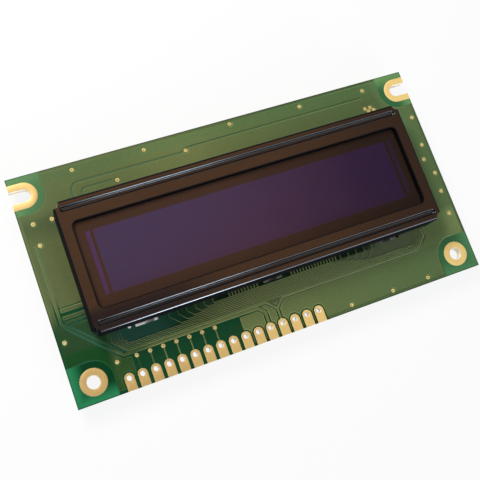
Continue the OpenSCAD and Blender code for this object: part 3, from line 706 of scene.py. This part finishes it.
class Nodes:
    """A node tree and short ways to add to it. A value is a number, a colour or the output of a node."""

    def __init__(self, tree):
        self.tree = tree

    def node(self, kind, inputs=(), **settings):
        """New node with its settings and inputs."""
        node = self.tree.nodes.new("ShaderNode" + kind)
        for key, value in settings.items():
            setattr(node, key, value)
        for key, value in dict(inputs).items():
            self.feed(node.inputs[key], value)
        return node

    def feed(self, socket, value):
        """Links an output to a socket, or sets its number or colour."""
        if isinstance(value, bpy.types.NodeSocket):
            self.tree.links.new(value, socket)
        elif isinstance(value, tuple) and socket.type == "RGBA":
            socket.default_value = (*value, 1.0)
        else:
            socket.default_value = value

    def axes(self, vector):
        """The three coordinates of a vector."""
        return self.node("SeparateXYZ", {"Vector": vector}).outputs

    def math(self, operation, first, second=0.0):
        """One operation on one or two numbers."""
        return self.node("Math", {0: first, 1: second}, operation=operation).outputs[0]

    def times(self, *values):
        """Product of the values."""
        return reduce(lambda a, b: self.math("MULTIPLY", a, b), values)

    def most(self, *values):
        """Largest of the values."""
        return reduce(lambda a, b: self.math("MAXIMUM", a, b), values)

    def ramp(self, value, start, end):
        """Level that goes smoothly from one pair of value and level to another."""
        inputs = {"Value": value}
        inputs["From Min"], inputs["To Min"] = start
        inputs["From Max"], inputs["To Max"] = end
        return self.node("MapRange", inputs, interpolation_type="SMOOTHSTEP").outputs["Result"]


class Shader(Nodes):
    """A Principled material and the nodes that feed it. Constants have the names of the shader's inputs."""

    def __init__(self, name, **constants):
        self.material = bpy.data.materials.new(name)
        self.material.use_nodes = True
        super().__init__(self.material.node_tree)
        self.bsdf = self.tree.nodes["Principled BSDF"]
        for key, value in constants.items():
            self.feed(self.bsdf.inputs[key.replace("_", " ")], value)

    @cached_property
    def spot(self):
        """Place on the part, in millimetres."""
        return self.scaled(self.node("TexCoord").outputs["Object"], 1 / MM)

    @cached_property
    def place(self):
        """The coordinates of that place."""
        return self.axes(self.spot)

    def scaled(self, value, factor):
        """A colour or place times a number."""
        return self.node("VectorMath", {0: value, "Scale": factor}, operation="SCALE").outputs["Vector"]

    def tinted(self, value, factors):
        """A colour or place with a factor for each of its three numbers."""
        return self.node("VectorMath", {0: value, 1: factors}, operation="MULTIPLY").outputs["Vector"]

    def noise(self, per_mm, detail=3.0, roughness=0.55, stretch=None):
        """Clouded pattern between 0 and 1."""
        place = self.tinted(self.spot, stretch) if stretch else self.spot
        inputs = {"Vector": place, "Scale": per_mm, "Detail": detail, "Roughness": roughness}
        return self.node("TexNoise", inputs).outputs["Fac"]

    def wave(self, axis, pace):
        """Sine along an axis, with an angle per millimetre."""
        return self.math("SINE", self.times(self.place[axis], pace))

    def band(self, value, low, high):
        """0 below low, 1 above high, smooth between them; low may lie above high."""
        return self.ramp(value, (low, 0.0), (high, 1.0))

    def zone(self, *bands):
        """1 in a patch of the part, 0 outside it: the product of bands of an axis, a low and a high end."""
        return self.times(*(self.band(self.place[axis], low, high) for axis, low, high in bands))

    def between(self, share, first, second):
        """Colour that goes from the first to the second as the share rises."""
        inputs = {"Factor": share, MIX_FIRST: first, MIX_SECOND: second}
        return self.node("Mix", inputs, data_type="RGBA").outputs[MIX_RESULT]

    def level(self, share, low, high):
        """Number that goes from low to high as the share rises."""
        inputs = {"Value": share, "To Min": low, "To Max": high}
        return self.node("MapRange", inputs).outputs["Result"]

    def upright(self):
        """How far a face looks up or down: 1 when level, 0 when it stands."""
        normal = self.node("NewGeometry").outputs["True Normal"]
        return self.math("ABSOLUTE", self.axes(normal)["Z"])

    def color(self, value):
        self.feed(self.bsdf.inputs["Base Color"], value)

    def roughness(self, value):
        self.feed(self.bsdf.inputs["Roughness"], value)

    def bump(self, height, depth):
        """Relief of a height between 0 and 1, as deep as depth in millimetres."""
        node = self.node("Bump", {"Height": height, "Distance": depth * MM, "Strength": 1.0})
        self.feed(self.bsdf.inputs["Normal"], node.outputs["Normal"])


# Colours of the bare corners, lower left, lower right, upper left and upper right: their own lighter green,
# with painted light from below that makes the outer ones brighter towards the board's edge
BARE_INNER = ((0.001, 0.040, 0.011), (0.040, 0.140, 0.052), (0.076, 0.190, 0.073), (0.038, 0.130, 0.048))
BARE_OUTER = ((0.022, 0.205, 0.080), (0.074, 0.212, 0.086), (0.112, 0.240, 0.093), (0.140, 0.285, 0.098))
BARE_EDGE = (BARE_R + 0.1, BARE_R - 0.3)


def corner_share(s, centre):
    """1 in the two copper-free corners of the board around its holes or slots, 0 elsewhere."""
    y = s.place["Y"]
    side = s.math("SUBTRACT", centre[0], s.math("ABSOLUTE", s.place["X"]))
    rise = s.math("SUBTRACT", centre[1], y) if centre[1] > 0 else s.math("SUBTRACT", y, centre[1])
    du, dv = s.most(side, 0.0), s.most(rise, 0.0)
    reach = s.math("SQRT", s.math("ADD", s.times(du, du), s.times(dv, dv)))
    return s.band(reach, *BARE_EDGE)


def by_corner(s, low_left, low_right, high_left, high_right):
    """Colour that goes over the board from one corner's to the next."""
    to_right = s.zone(("X", -20.0, 20.0))
    low, high = s.between(to_right, low_left, low_right), s.between(to_right, high_left, high_right)
    return s.between(s.zone(("Y", -10.0, 10.0)), low, high)


def mask_ground(s):
    """Green mask between the traces: dark, and olive where copper is taken to lie behind, lightened there as
    painted light; a painted contact shadow along the bezel's lower wall, and a painted lighter patch at the
    lower left.
    """
    ground = s.between(s.noise(0.35, 4.0), (0.003, 0.040, 0.014), (0.008, 0.062, 0.022))
    bus = s.zone(("Y", -16.0, -15.2), ("X", -22.0, 2.0))
    fork = s.times(s.zone(("Y", -17.8, -16.8), ("X", -9.0, -5.0)), 0.6)
    backing_and_painted_light = s.times(s.most(bus, s.zone(("Y", -5.0, -1.0)), fork), s.zone(("Z", 2.6, 2.8)))
    # Olive where copper is taken to lie behind, lightened as painted light that lifts the shade below the
    # bezel.
    behind = s.between(s.zone(("X", 4.0, 16.0)), (0.112, 0.134, 0.064), (0.142, 0.164, 0.083))
    behind = s.between(s.zone(("Y", 0.0, 8.0)), behind, (0.078, 0.140, 0.062))
    ground = s.between(backing_and_painted_light, ground, behind)
    # Painted shade: a dark strip just below the bezel's lower wall, its contact shadow.
    painted_comb_shadow = s.zone(("Y", -12.0, -11.5), ("Y", -9.0, -10.5), ("X", -15.0, -11.0), ("X", 24.0, 19.0))
    ground = s.between(painted_comb_shadow, ground, (0.003, 0.020, 0.009))
    pad_gaps = s.zone(("Y", -16.8, -17.6), ("X", -14.0, -4.0))
    ground = s.between(pad_gaps, ground, (0.020, 0.045, 0.013))
    # Painted light: a lighter patch at the lower left that lifts the shade there.
    nest = s.zone(("Y", -15.6, -14.4), ("X", -18.0, -25.0), ("Y", -6.0, -9.0))
    return s.between(nest, ground, (0.026, 0.104, 0.067))


def mask_margin(s, ground):
    """Green mask on the copper-free strip along the board's edge, between its corners."""
    # Painted light: lighter to the left, darker to the right.
    margin = s.between(s.zone(("X", -20.0, 20.0)), (0.118, 0.155, 0.057), (0.080, 0.128, 0.047))
    low_left = s.zone(("Y", -3.6, -8.4), ("X", -28.0, -34.5))
    margin = s.between(low_left, margin, (0.010, 0.066, 0.018))
    header = s.zone(("Y", -20.0, -20.5), ("X", 7.9, 7.3))
    return s.between(header, margin, ground)


def cut_edge(s):
    """Sawn edge of the laminate: pale fibres in layers."""
    fibres = s.noise(2.2, 4.0, stretch=(1.0, 1.0, 6.0))
    cut = s.between(fibres, (0.17, 0.19, 0.075), (0.36, 0.35, 0.17))
    layers = s.band(s.wave("Z", 31.0), -0.4, 0.9)
    return s.between(s.times(layers, 0.45), cut, (0.52, 0.50, 0.30))


def laminate():
    """Green mask over woven glass laminate: bright in the copper-free corners, partly its own lighter green
    and partly painted light from below, with a sawn edge.
    """
    s = Shader("laminate", Specular_IOR_Level=0.22)
    side = s.math("SUBTRACT", BOARD[0], s.math("ABSOLUTE", s.place["X"]))
    rise = s.math("SUBTRACT", BOARD[1], s.math("ABSOLUTE", s.place["Y"]))
    inward = s.math("MINIMUM", side, rise)
    outer = by_corner(s, *BARE_OUTER)
    # Painted light: the bare laminate brightens towards the board's edge, where light from below passes
    # through it.
    to_edge = s.most(s.band(side, 3.2, 0.2), s.band(rise, 3.2, 0.2))
    bare = s.between(to_edge, by_corner(s, *BARE_INNER), outer)
    ground = mask_ground(s)
    corners = s.most(corner_share(s, HOLE), corner_share(s, SLOT))
    middle = s.between(corners, ground, bare)
    margin = s.between(corners, mask_margin(s, ground), outer)
    mask = s.between(s.band(inward, 0.85, 0.45), middle, margin)
    blots = s.times(s.band(s.noise(2.6, 4.0), 0.45, 0.75), 0.22)
    mask = s.between(blots, mask, (0.010, 0.075, 0.030))
    mask = s.between(s.band(inward, 0.24, 0.1), mask, s.scaled(mask, 0.45))
    s.color(s.between(s.band(s.upright(), 0.4, 0.6), cut_edge(s), mask))
    s.roughness(s.level(s.noise(1.4, 3.0), 0.2, 0.3))
    cloth = s.times(s.wave("X", 11.0), s.wave("Y", 13.0))
    s.bump(s.math("ADD", s.times(cloth, 0.35), s.noise(5.0, 3.0)), 0.005)
    return s.material


def masked_copper():
    """Green mask over copper: olive, greener at the lower left; lighter to the left, at the left strip, by
    the bus lines and above the bezel as painted light, darker below the bezel as painted shade, and a
    painted highlight where it runs over edges.
    """
    s = Shader("masked_copper", Specular_IOR_Level=0.2)
    cloudy = s.noise(0.16, 4.0)
    # Painted light: lighter towards the left, as the light falls off to the right.
    left = s.between(cloudy, (0.136, 0.162, 0.056), (0.168, 0.190, 0.069))
    right = s.between(cloudy, (0.092, 0.140, 0.052), (0.112, 0.170, 0.066))
    olive = s.between(s.zone(("X", -22.0, 34.0)), left, right)
    top = s.times(s.zone(("Y", 17.8, 20.6)), 0.45)
    olive = s.between(top, olive, (0.092, 0.190, 0.072))
    specks = s.times(s.band(s.noise(3.6, 4.0, 0.65), 0.42, 0.72), 0.30)
    olive = s.between(specks, olive, (0.058, 0.088, 0.030))
    foot = s.times(s.zone(("Y", -13.5, -16.5), ("X", -25.0, -29.0)), 0.85)
    deep = s.most(s.zone(("Y", -3.6, -8.4), ("X", -31.0, -34.5)), foot)
    olive = s.between(deep, olive, s.between(cloudy, (0.004, 0.046, 0.008), (0.012, 0.068, 0.016)))
    # Painted shade: darker just below the bezel's lower wall, towards the left.
    painted_shade = s.times(s.zone(("Y", -13.0, -11.4), ("X", 4.0, -26.0)), 0.6)
    olive = s.between(painted_shade, olive, (0.030, 0.060, 0.026))
    # Painted light: the left strip, the bus lines and the board just above the bezel are lifted out of
    # shade.
    strip = s.zone(("X", -32.5, -36.0), ("Y", -7.0, -3.0), ("Y", 12.0, 8.0))
    bus = s.zone(("Y", -15.8, -13.5), ("Y", -8.0, -10.0), ("X", -24.0, -4.0))
    upper = s.zone(("Y", 12.0, 15.0), ("X", 8.0, -20.0))
    lighter = [
        (strip, (1.40, 1.25, 1.20)),
        (bus, (1.70, 1.48, 1.42)),
        (upper, (1.55, 1.48, 1.40)),
    ]
    for share, factors in lighter:
        olive = s.between(share, olive, s.tinted(olive, factors))
    # Painted highlight on the slopes where the mask runs over copper edges, weaker above the bezel.
    slope = s.band(s.upright(), 0.985, 0.90)
    sheen = s.times(slope, s.level(upper, 1.0, 0.15))
    s.color(s.between(sheen, olive, s.scaled(olive, 1.55)))
    uneven = s.level(s.noise(1.4, 3.0), 0.2, 0.32)
    s.roughness(s.math("ADD", uneven, s.times(slope, 0.4)))
    s.bump(s.noise(6.0, 4.0), 0.006)
    return s.material


def gold(name, barrel, pale=0.0):
    """Matt plated gold with the grain of the copper under it; brighter to the right and at the upper left as
    painted reflection, a painted highlight on its rims, and a pale barrel colour that is painted light
    through the holes.
    """
    s = Shader(name, Metallic=0.2, Specular_IOR_Level=0.5)
    cloudy = s.noise(0.9, 4.0)
    grain = s.noise(9.0, 3.0, 0.7)
    # Painted reflection: the gold is brighter to the right and at the upper left.
    painted_reflection_share = s.most(s.zone(("X", -32.0, 25.0)), s.times(s.zone(("Y", 0.0, 12.0)), 0.55))
    dim_gold = s.between(cloudy, (0.52, 0.325, 0.106), (0.645, 0.413, 0.146))
    lit_gold = s.between(cloudy, (0.95, 0.620, 0.202), (1.00, 0.735, 0.272))
    tone = s.between(painted_reflection_share, dim_gold, lit_gold)
    tone = s.between(s.times(s.band(grain, 0.5, 0.8), 0.5), tone, (0.86, 0.68, 0.34))
    tone = s.between(pale, tone, (0.66, 0.51, 0.17))
    # Painted highlight: the tilted rims are paler.
    rim = s.times(s.band(s.upright(), 0.97, 0.75), 0.6)
    tone = s.between(rim, tone, (0.95, 0.80, 0.48))
    # The barrels take a near-white or pale colour: painted light that stands in for light through the holes.
    s.color(s.between(s.band(s.upright(), 0.3, 0.1), tone, barrel))
    s.roughness(s.level(grain, 0.44, 0.6))
    s.bump(grain, 0.006)
    return s.material


def bezel_coat():
    """Baked enamel on steel under a clear gloss: brown on level faces, partly its own tint and partly a
    painted reflection of warm light from above, darker to the right and at the lower left as painted shade,
    black where it bends.
    """
    s = Shader("bezel_coat", Specular_IOR_Level=0.06, Coat_Weight=0.85, Coat_IOR=1.7, Coat_Roughness=0.05)
    grain = s.noise(7.0, 3.0, 0.65)
    tone = s.between(s.noise(0.12, 3.0), (0.047, 0.0200, 0.0075), (0.058, 0.0260, 0.0100))
    # Painted shade: darker towards the right.
    tone = s.between(s.zone(("X", 6.0, 36.0)), tone, (0.031, 0.0125, 0.0050))
    # Painted shade: darker at the lower left of the face.
    painted_shade = s.times(s.zone(("Y", -5.5, -8.0), ("X", -6.0, -24.0)), 0.9)
    tone = s.between(painted_shade, tone, (0.013, 0.0055, 0.0050))
    specks = s.times(s.band(grain, 0.5, 0.78), 0.3)
    tone = s.between(specks, tone, s.scaled(tone, 1.5))
    scuffs = s.times(s.band(s.noise(1.2, 3.0, stretch=(0.35, 3.0, 1.0)), 0.58, 0.78), 0.3)
    tone = s.between(scuffs, tone, s.scaled(tone, 0.6))
    # Brown on level faces is partly a painted reflection of warm light from above; tilted faces are black.
    s.color(s.between(s.band(s.upright(), 0.93, 0.99), (0.0035, 0.0028, 0.0045), tone))
    s.roughness(s.level(grain, 0.24, 0.36))
    s.bump(grain, 0.003)
    return s.material


def bezel_wall():
    """The same enamel on the standing walls and cut edges, thinner and less glossy, also laid on a band of
    the face around the window as a painted dark line.
    """
    s = Shader("bezel_wall", Specular_IOR_Level=0.05)
    grain = s.noise(5.0, 3.0, 0.6)
    s.color(s.between(grain, (0.004, 0.0035, 0.0050), (0.010, 0.0085, 0.0110)))
    s.roughness(s.level(grain, 0.55, 0.7))
    s.bump(grain, 0.003)
    return s.material


def polarizer():
    """Smoked film with a glossy face, darker to the right as painted shade, with a black painted shadow
    along its top and right edges.
    """
    s = Shader("polarizer", Specular_IOR_Level=0.6, Alpha=0.5)
    grain = s.noise(3.0, 4.0)
    drift = s.times(s.noise(0.08, 2.0), 12.0)
    # Painted shade: darker towards the right.
    shade = s.band(s.math("ADD", s.place["X"], drift), -4.0, 40.0)
    tone = s.between(shade, (0.089, 0.038, 0.021), (0.032, 0.0125, 0.006))
    # Painted shadow: a black line where the window's top and right walls shade the film.
    painted_shadow_line = s.most(s.zone(("X", 32.72, 32.86)), s.zone(("Y", 9.3, 9.44)))
    s.color(s.between(painted_shadow_line, tone, (0.003, 0.002, 0.002)))
    s.roughness(s.level(grain, 0.08, 0.14))
    s.bump(grain, 0.001)
    return s.material


def clear_glass():
    """Clear front glass, slightly green."""
    s = Shader("glass", Base_Color=(0.30, 0.36, 0.34), Specular_IOR_Level=0.5, Alpha=0.04)
    s.roughness(s.level(s.noise(0.2), 0.02, 0.06))
    return s.material


def film(name, blue, plum, dark):
    """Thin film with a coloured sheen, faintly clouded: bluer at the upper left and darker to the right, a
    painted reflection of bluish light that fades to the right.
    """
    s = Shader(name, Metallic=0.15, Specular_Tint=(0.6, 0.55, 1.0), Specular_IOR_Level=0.8)
    grain = s.noise(4.0, 4.0, 0.7)
    drift = s.math("ADD", s.times(s.noise(0.07, 3.0), 14.0), -7.0)
    along = s.math("ADD", s.place["X"], drift)
    slant = s.math("SUBTRACT", along, s.times(s.place["Y"], 1.6))
    tone = s.between(s.band(slant, -28.0, 10.0), blue, plum)
    tone = s.between(s.band(along, -2.0, 26.0), tone, dark)
    s.color(s.between(s.times(s.band(grain, 0.42, 0.75), 0.3), tone, dark))
    s.roughness(s.level(grain, 0.22, 0.34))
    return s.material


def moulded(name, low, high, per_mm=4.0, rough=(0.45, 0.6), relief=0.015, **constants):
    """Plain moulded or cast stuff: two close colours, an uneven gloss and a fine relief."""
    s = Shader(name, **constants)
    grain = s.noise(per_mm, 4.0, 0.6)
    mottle = s.math("ADD", s.times(grain, 0.6), s.times(s.noise(per_mm / 9), 0.4))
    s.color(s.between(mottle, low, high))
    s.roughness(s.level(grain, *rough))
    s.bump(grain, relief)
    return s.material


def winding():
    """Enamelled wire, wound in even turns."""
    s = Shader("copper_wire", Metallic=0.9, Coat_Weight=0.4, Coat_Roughness=0.15)
    turns = s.wave("Z", 45.0)
    s.color(s.between(s.band(turns, -0.6, 0.8), (0.20, 0.075, 0.022), (0.62, 0.26, 0.085)))
    s.roughness(s.level(s.noise(4.0), 0.25, 0.4))
    s.bump(turns, 0.02)
    return s.material


ZEBRA_PITCH = 0.18


def elastomer():
    """Rubber strip of fine conducting and insulating layers."""
    s = Shader("elastomer", Specular_IOR_Level=0.3)
    layers = s.band(s.wave("X", 2 * math.pi / ZEBRA_PITCH), -0.3, 0.3)
    s.color(s.between(layers, (0.012, 0.012, 0.013), (0.36, 0.37, 0.40)))
    s.roughness(s.level(s.noise(3.0), 0.5, 0.7))
    s.bump(s.noise(5.0), 0.01)
    return s.material


# Tones of the field and side bars, blue, plum and dark: the spread from blue to dark is a painted reflection
# of bluish light.
FIELD = ((0.060, 0.120, 0.740), (0.157, 0.054, 0.570), (0.084, 0.023, 0.430))
BARS = ((0.270, 0.080, 0.850), (0.240, 0.070, 0.700), (0.085, 0.026, 0.330))
# The barrel colours given here are painted light through the holes.
GOLD = gold("gold", (1.00, 0.93, 0.78))
VIA_GOLD = gold("via_gold", (1.00, 0.92, 0.56), 0.75)
COPPER = masked_copper()
TIN = moulded("tin", (0.52, 0.52, 0.53), (0.74, 0.74, 0.74), 6.0, (0.25, 0.42), 0.012, Metallic=0.9)
CHIP = moulded("chip_plastic", (0.010, 0.010, 0.011), (0.030, 0.030, 0.032), 9.0, (0.5, 0.7), 0.02)
FERRITE = moulded("ferrite", (0.035, 0.035, 0.038), (0.085, 0.085, 0.090), 9.0, (0.55, 0.75), 0.03)
ZEBRA = elastomer()
MATERIALS = {
    "circuit_board": laminate(),
    "polarizer": polarizer(),
    "display_glass": clear_glass(),
    "anode_columns": film("field_film", *FIELD),
    "organic_layer": film("organic_film", *FIELD),
    "side_electrodes": film("side_film", *BARS),
    "cathode_rows": moulded(
        "cathode", (0.30, 0.29, 0.33), (0.45, 0.44, 0.49), 6.0, (0.2, 0.35), Metallic=0.9
    ),
    "glass_seal": moulded("seal", (0.012, 0.008, 0.005), (0.028, 0.018, 0.010), 3.0, (0.3, 0.45)),
    "rear_glass": moulded(
        "rear_glass", (0.020, 0.011, 0.005), (0.034, 0.020, 0.009), 0.8, (0.12, 0.2), 0.002
    ),
    "desiccant_sheet": moulded("desiccant", (0.60, 0.56, 0.46), (0.74, 0.71, 0.62), 5.0, (0.7, 0.9)),
    "spacer_frame": moulded("frame_plastic", (0.012, 0.012, 0.014), (0.024, 0.024, 0.028), 2.0),
    "foam_strips": moulded("foam", (0.015, 0.015, 0.016), (0.05, 0.05, 0.052), 8.0, (0.8, 0.95), 0.06),
    "controller_glob": moulded(
        "epoxy", (0.006, 0.006, 0.007), (0.016, 0.016, 0.017), 0.5, (0.16, 0.3), 0.05
    ),
    "inductor_winding": winding(),
    "ceramic_capacitors": moulded(
        "capacitor_body", (0.36, 0.22, 0.11), (0.50, 0.33, 0.18), 6.0, (0.4, 0.55)
    ),
    "chip_resistors": moulded(
        "resistor_body", (0.008, 0.008, 0.010), (0.022, 0.022, 0.026), 6.0, (0.15, 0.3)
    ),
}
SHARED = {
    GOLD: ("contact_fingers", "jumper_pads"),
    TIN: (
        "boost_chip_leads", "inductor_terminals", "diode_leads",
        "chip_end_caps", "solder_fillets", "component_pads",
    ),
    CHIP: ("boost_chip", "diode_body"),
    FERRITE: ("inductor_shield", "inductor_drum"),
    ZEBRA: ("upper_zebra", "lower_zebra"),
}
for material, names in SHARED.items():
    for name in names:
        MATERIALS[name] = material


def dress(piece, *materials):
    """Gives a piece its materials and keeps which of them each face has."""
    slots = [face.material_index for face in piece.data.polygons]
    piece.data.materials.clear()
    for material in materials:
        piece.data.materials.append(material)
    for face, slot in zip(piece.data.polygons, slots):
        face.material_index = min(slot, len(materials) - 1)


for name, material in MATERIALS.items():
    dress(nodes[name], material)
dress(build_bezel(), bezel_coat(), bezel_wall())
for piece in build_plates():
    dress(piece, VIA_GOLD if piece.name == "via_plating" else GOLD)
dress(build_mask("front_mask", "front_copper", PLATE_TOP, FRONT_Z), COPPER)
dress(build_mask("back_mask", "back_copper", PLATE_LOW, BACK_Z), COPPER)


# Rounded edges of the solids that stay

SOFT_STEPS = 2
SOFT_FROM = math.radians(50)
SOFT_EDGES = {
    "boost_chip": 0.08,
    "diode_body": 0.08,
    "inductor_shield": 0.08,
    "ceramic_capacitors": 0.06,
    "chip_resistors": 0.04,
    "chip_end_caps": 0.06,
}


def soften(name, width):
    """Rounds the sharp edges of a CAD node in its modifiers, by a width in millimetres."""
    piece = nodes[name]
    weld = piece.modifiers.new("weld", "WELD")
    weld.merge_threshold = JOIN
    rounding = piece.modifiers.new("rounding", "BEVEL")
    rounding.width = width * MM
    rounding.segments = SOFT_STEPS
    rounding.limit_method = "ANGLE"
    rounding.angle_limit = SOFT_FROM
    rounding.loop_slide = False
    rounding.use_clamp_overlap = False
    normals = piece.modifiers.new("normals", "WEIGHTED_NORMAL")
    normals.keep_sharp = False


for name, width in SOFT_EDGES.items():
    soften(name, width)


# Floor, light and camera

# Reach and height of the floor's rings, in metres
FLOOR_PROFILE = [
    (0.4, 0.0), (1.2, 0.0), (2.0, 0.01), (2.6, 0.05), (3.2, 0.15), (3.6, 0.3), (3.9, 0.6),
]
FLOOR_STEPS = 64

# Overhead patch of the tent that stays dim: its middle, and the cosines of its outer and inner angle
DIM_WAY = Vector((0.27, 0.16, 0.95)).normalized()
DIM_OUTER = math.cos(math.radians(46))
DIM_INNER = math.cos(math.radians(22))
PANEL_POWER = 36.0

LAMP_PLACE = Vector((-105, 175, 195))
LAMP_TARGET = Vector((0, 0, 4))
LAMP_SIZE = 140
LAMP_POWER = 0.8
LAMP_COLOR = (1.0, 0.98, 0.95)

CAMERA_PLACE = Vector((-42.669, -24.26, 145.147))
CAMERA_RIGHT = Vector((0.91846, -0.34165, 0.19926))
CAMERA_UP = Vector((0.29579, 0.9278, 0.22738))
CAMERA_LENS = 57.898
CAMERA_SENSOR = 36.0
CAMERA_NEAR = 10
CAMERA_FAR = 20000


def floor_paper():
    """White paper that glows to the eye, except in the module's own shadow below the display."""
    s = Shader("floor_paper")
    s.tree.nodes.remove(s.bsdf)
    across = s.band(s.math("ABSOLUTE", s.place["X"]), 34.0, 31.0)
    up = s.band(s.math("ABSOLUTE", s.math("SUBTRACT", s.place["Y"], BEZEL_Y)), 14.6, 13.8)
    # The glow is cut out below the display so that the module's shadow shows; it is cut less to the left, a
    # painted lighter patch below the left tab slot.
    under = s.times(across, up, s.level(s.zone(("X", -26.0, -6.0)), 0.5, 0.95))
    rays = s.node("LightPath").outputs
    seen = s.most(rays["Is Camera Ray"], rays["Is Glossy Ray"], rays["Is Transmission Ray"])
    share = s.times(seen, s.level(under, 0.88, 0.0))
    paper = s.node("BsdfDiffuse", {"Color": (0.8, 0.8, 0.8)}).outputs[0]
    glow = s.node("Emission", {"Color": (1.0, 1.0, 1.0)}).outputs[0]
    mix = s.node("MixShader", {0: share, 1: paper, 2: glow}).outputs[0]
    s.feed(s.tree.nodes["Material Output"].inputs["Surface"], mix)
    return s.material


def build_floor():
    """Sheet of paper that rises all round, far from the module."""
    mesh = bmesh.new()
    turns = full_turn(FLOOR_STEPS)
    rows = [[mesh.verts.new((*spot, z)) for spot in around(turns, reach)] for reach, z in FLOOR_PROFILE]
    mesh.faces.new(rows[0])
    bridge(mesh, rows)
    for face in mesh.faces:
        face.smooth = True
    data = bpy.data.meshes.new("floor")
    mesh.to_mesh(data)
    mesh.free()
    data.materials.append(floor_paper())
    floor = link_piece("floor", data)


def build_world():
    """Studio light: a soft tent, dim at the floor, the left and overhead, and a bluish panel in front."""
    world = bpy.data.worlds.new("studio")
    bpy.context.scene.world = world
    world.use_nodes = True
    w = Nodes(world.node_tree)
    way = w.node("TexCoord").outputs["Generated"]
    x, y, z = w.axes(way)
    overhead = w.node("VectorMath", {0: way, 1: DIM_WAY}, operation="DOT_PRODUCT").outputs["Value"]
    tent = w.tree.nodes["Background"]
    w.feed(tent.inputs["Color"], (1.0, 1.0, 1.0))
    w.feed(tent.inputs["Strength"], w.times(
        w.ramp(z, (0.2, 0.07), (0.75, 0.69)),
        w.ramp(x, (-0.6, 0.2), (-0.1, 1.0)),
        w.ramp(overhead, (DIM_OUTER, 1.0), (DIM_INNER, 0.2)),
    ))
    strength = w.times(
        w.ramp(y, (-0.5, 0.0), (-0.6, PANEL_POWER)),
        w.ramp(z, (0.04, 0.0), (0.1, 1.0)),
        w.ramp(z, (0.34, 1.0), (0.56, 0.0)),
        w.ramp(x, (0.05, 0.0), (0.15, 1.0)),
        w.ramp(x, (0.19, 1.0), (0.31, 0.16)),
        w.ramp(x, (0.47, 1.0), (0.53, 0.0)),
    )
    panel = w.node("Background", {"Color": (0.72, 0.86, 1.0), "Strength": strength})
    lights = w.node("AddShader", {0: tent.outputs[0], 1: panel.outputs[0]})
    w.feed(w.tree.nodes["World Output"].inputs["Surface"], lights.outputs[0])


def build_lamp():
    """Soft key light from beyond the module's upper left corner."""
    lamp = bpy.data.lights.new("key_lamp", "AREA")
    lamp.shape = "SQUARE"
    lamp.size = LAMP_SIZE * MM
    lamp.energy = LAMP_POWER
    lamp.color = LAMP_COLOR
    piece = link_piece("key_lamp", lamp)
    piece.location = LAMP_PLACE * MM
    piece.rotation_euler = (LAMP_TARGET - LAMP_PLACE).to_track_quat("-Z", "Y").to_euler()


def build_camera():
    """The photograph's view."""
    camera = bpy.data.cameras.new("camera")
    camera.sensor_width = CAMERA_SENSOR
    camera.lens = CAMERA_LENS
    camera.clip_start = CAMERA_NEAR * MM
    camera.clip_end = CAMERA_FAR * MM
    piece = link_piece("camera", camera)
    right, up = CAMERA_RIGHT.normalized(), CAMERA_UP.normalized()
    back = right.cross(up).normalized()
    turn = Matrix((right, back.cross(right), back)).transposed()
    piece.matrix_world = Matrix.Translation(CAMERA_PLACE * MM) @ turn.to_4x4()
    bpy.context.scene.camera = piece


build_floor()
build_world()
build_lamp()
build_camera()
bpy.context.scene.view_settings.view_transform = "Standard"
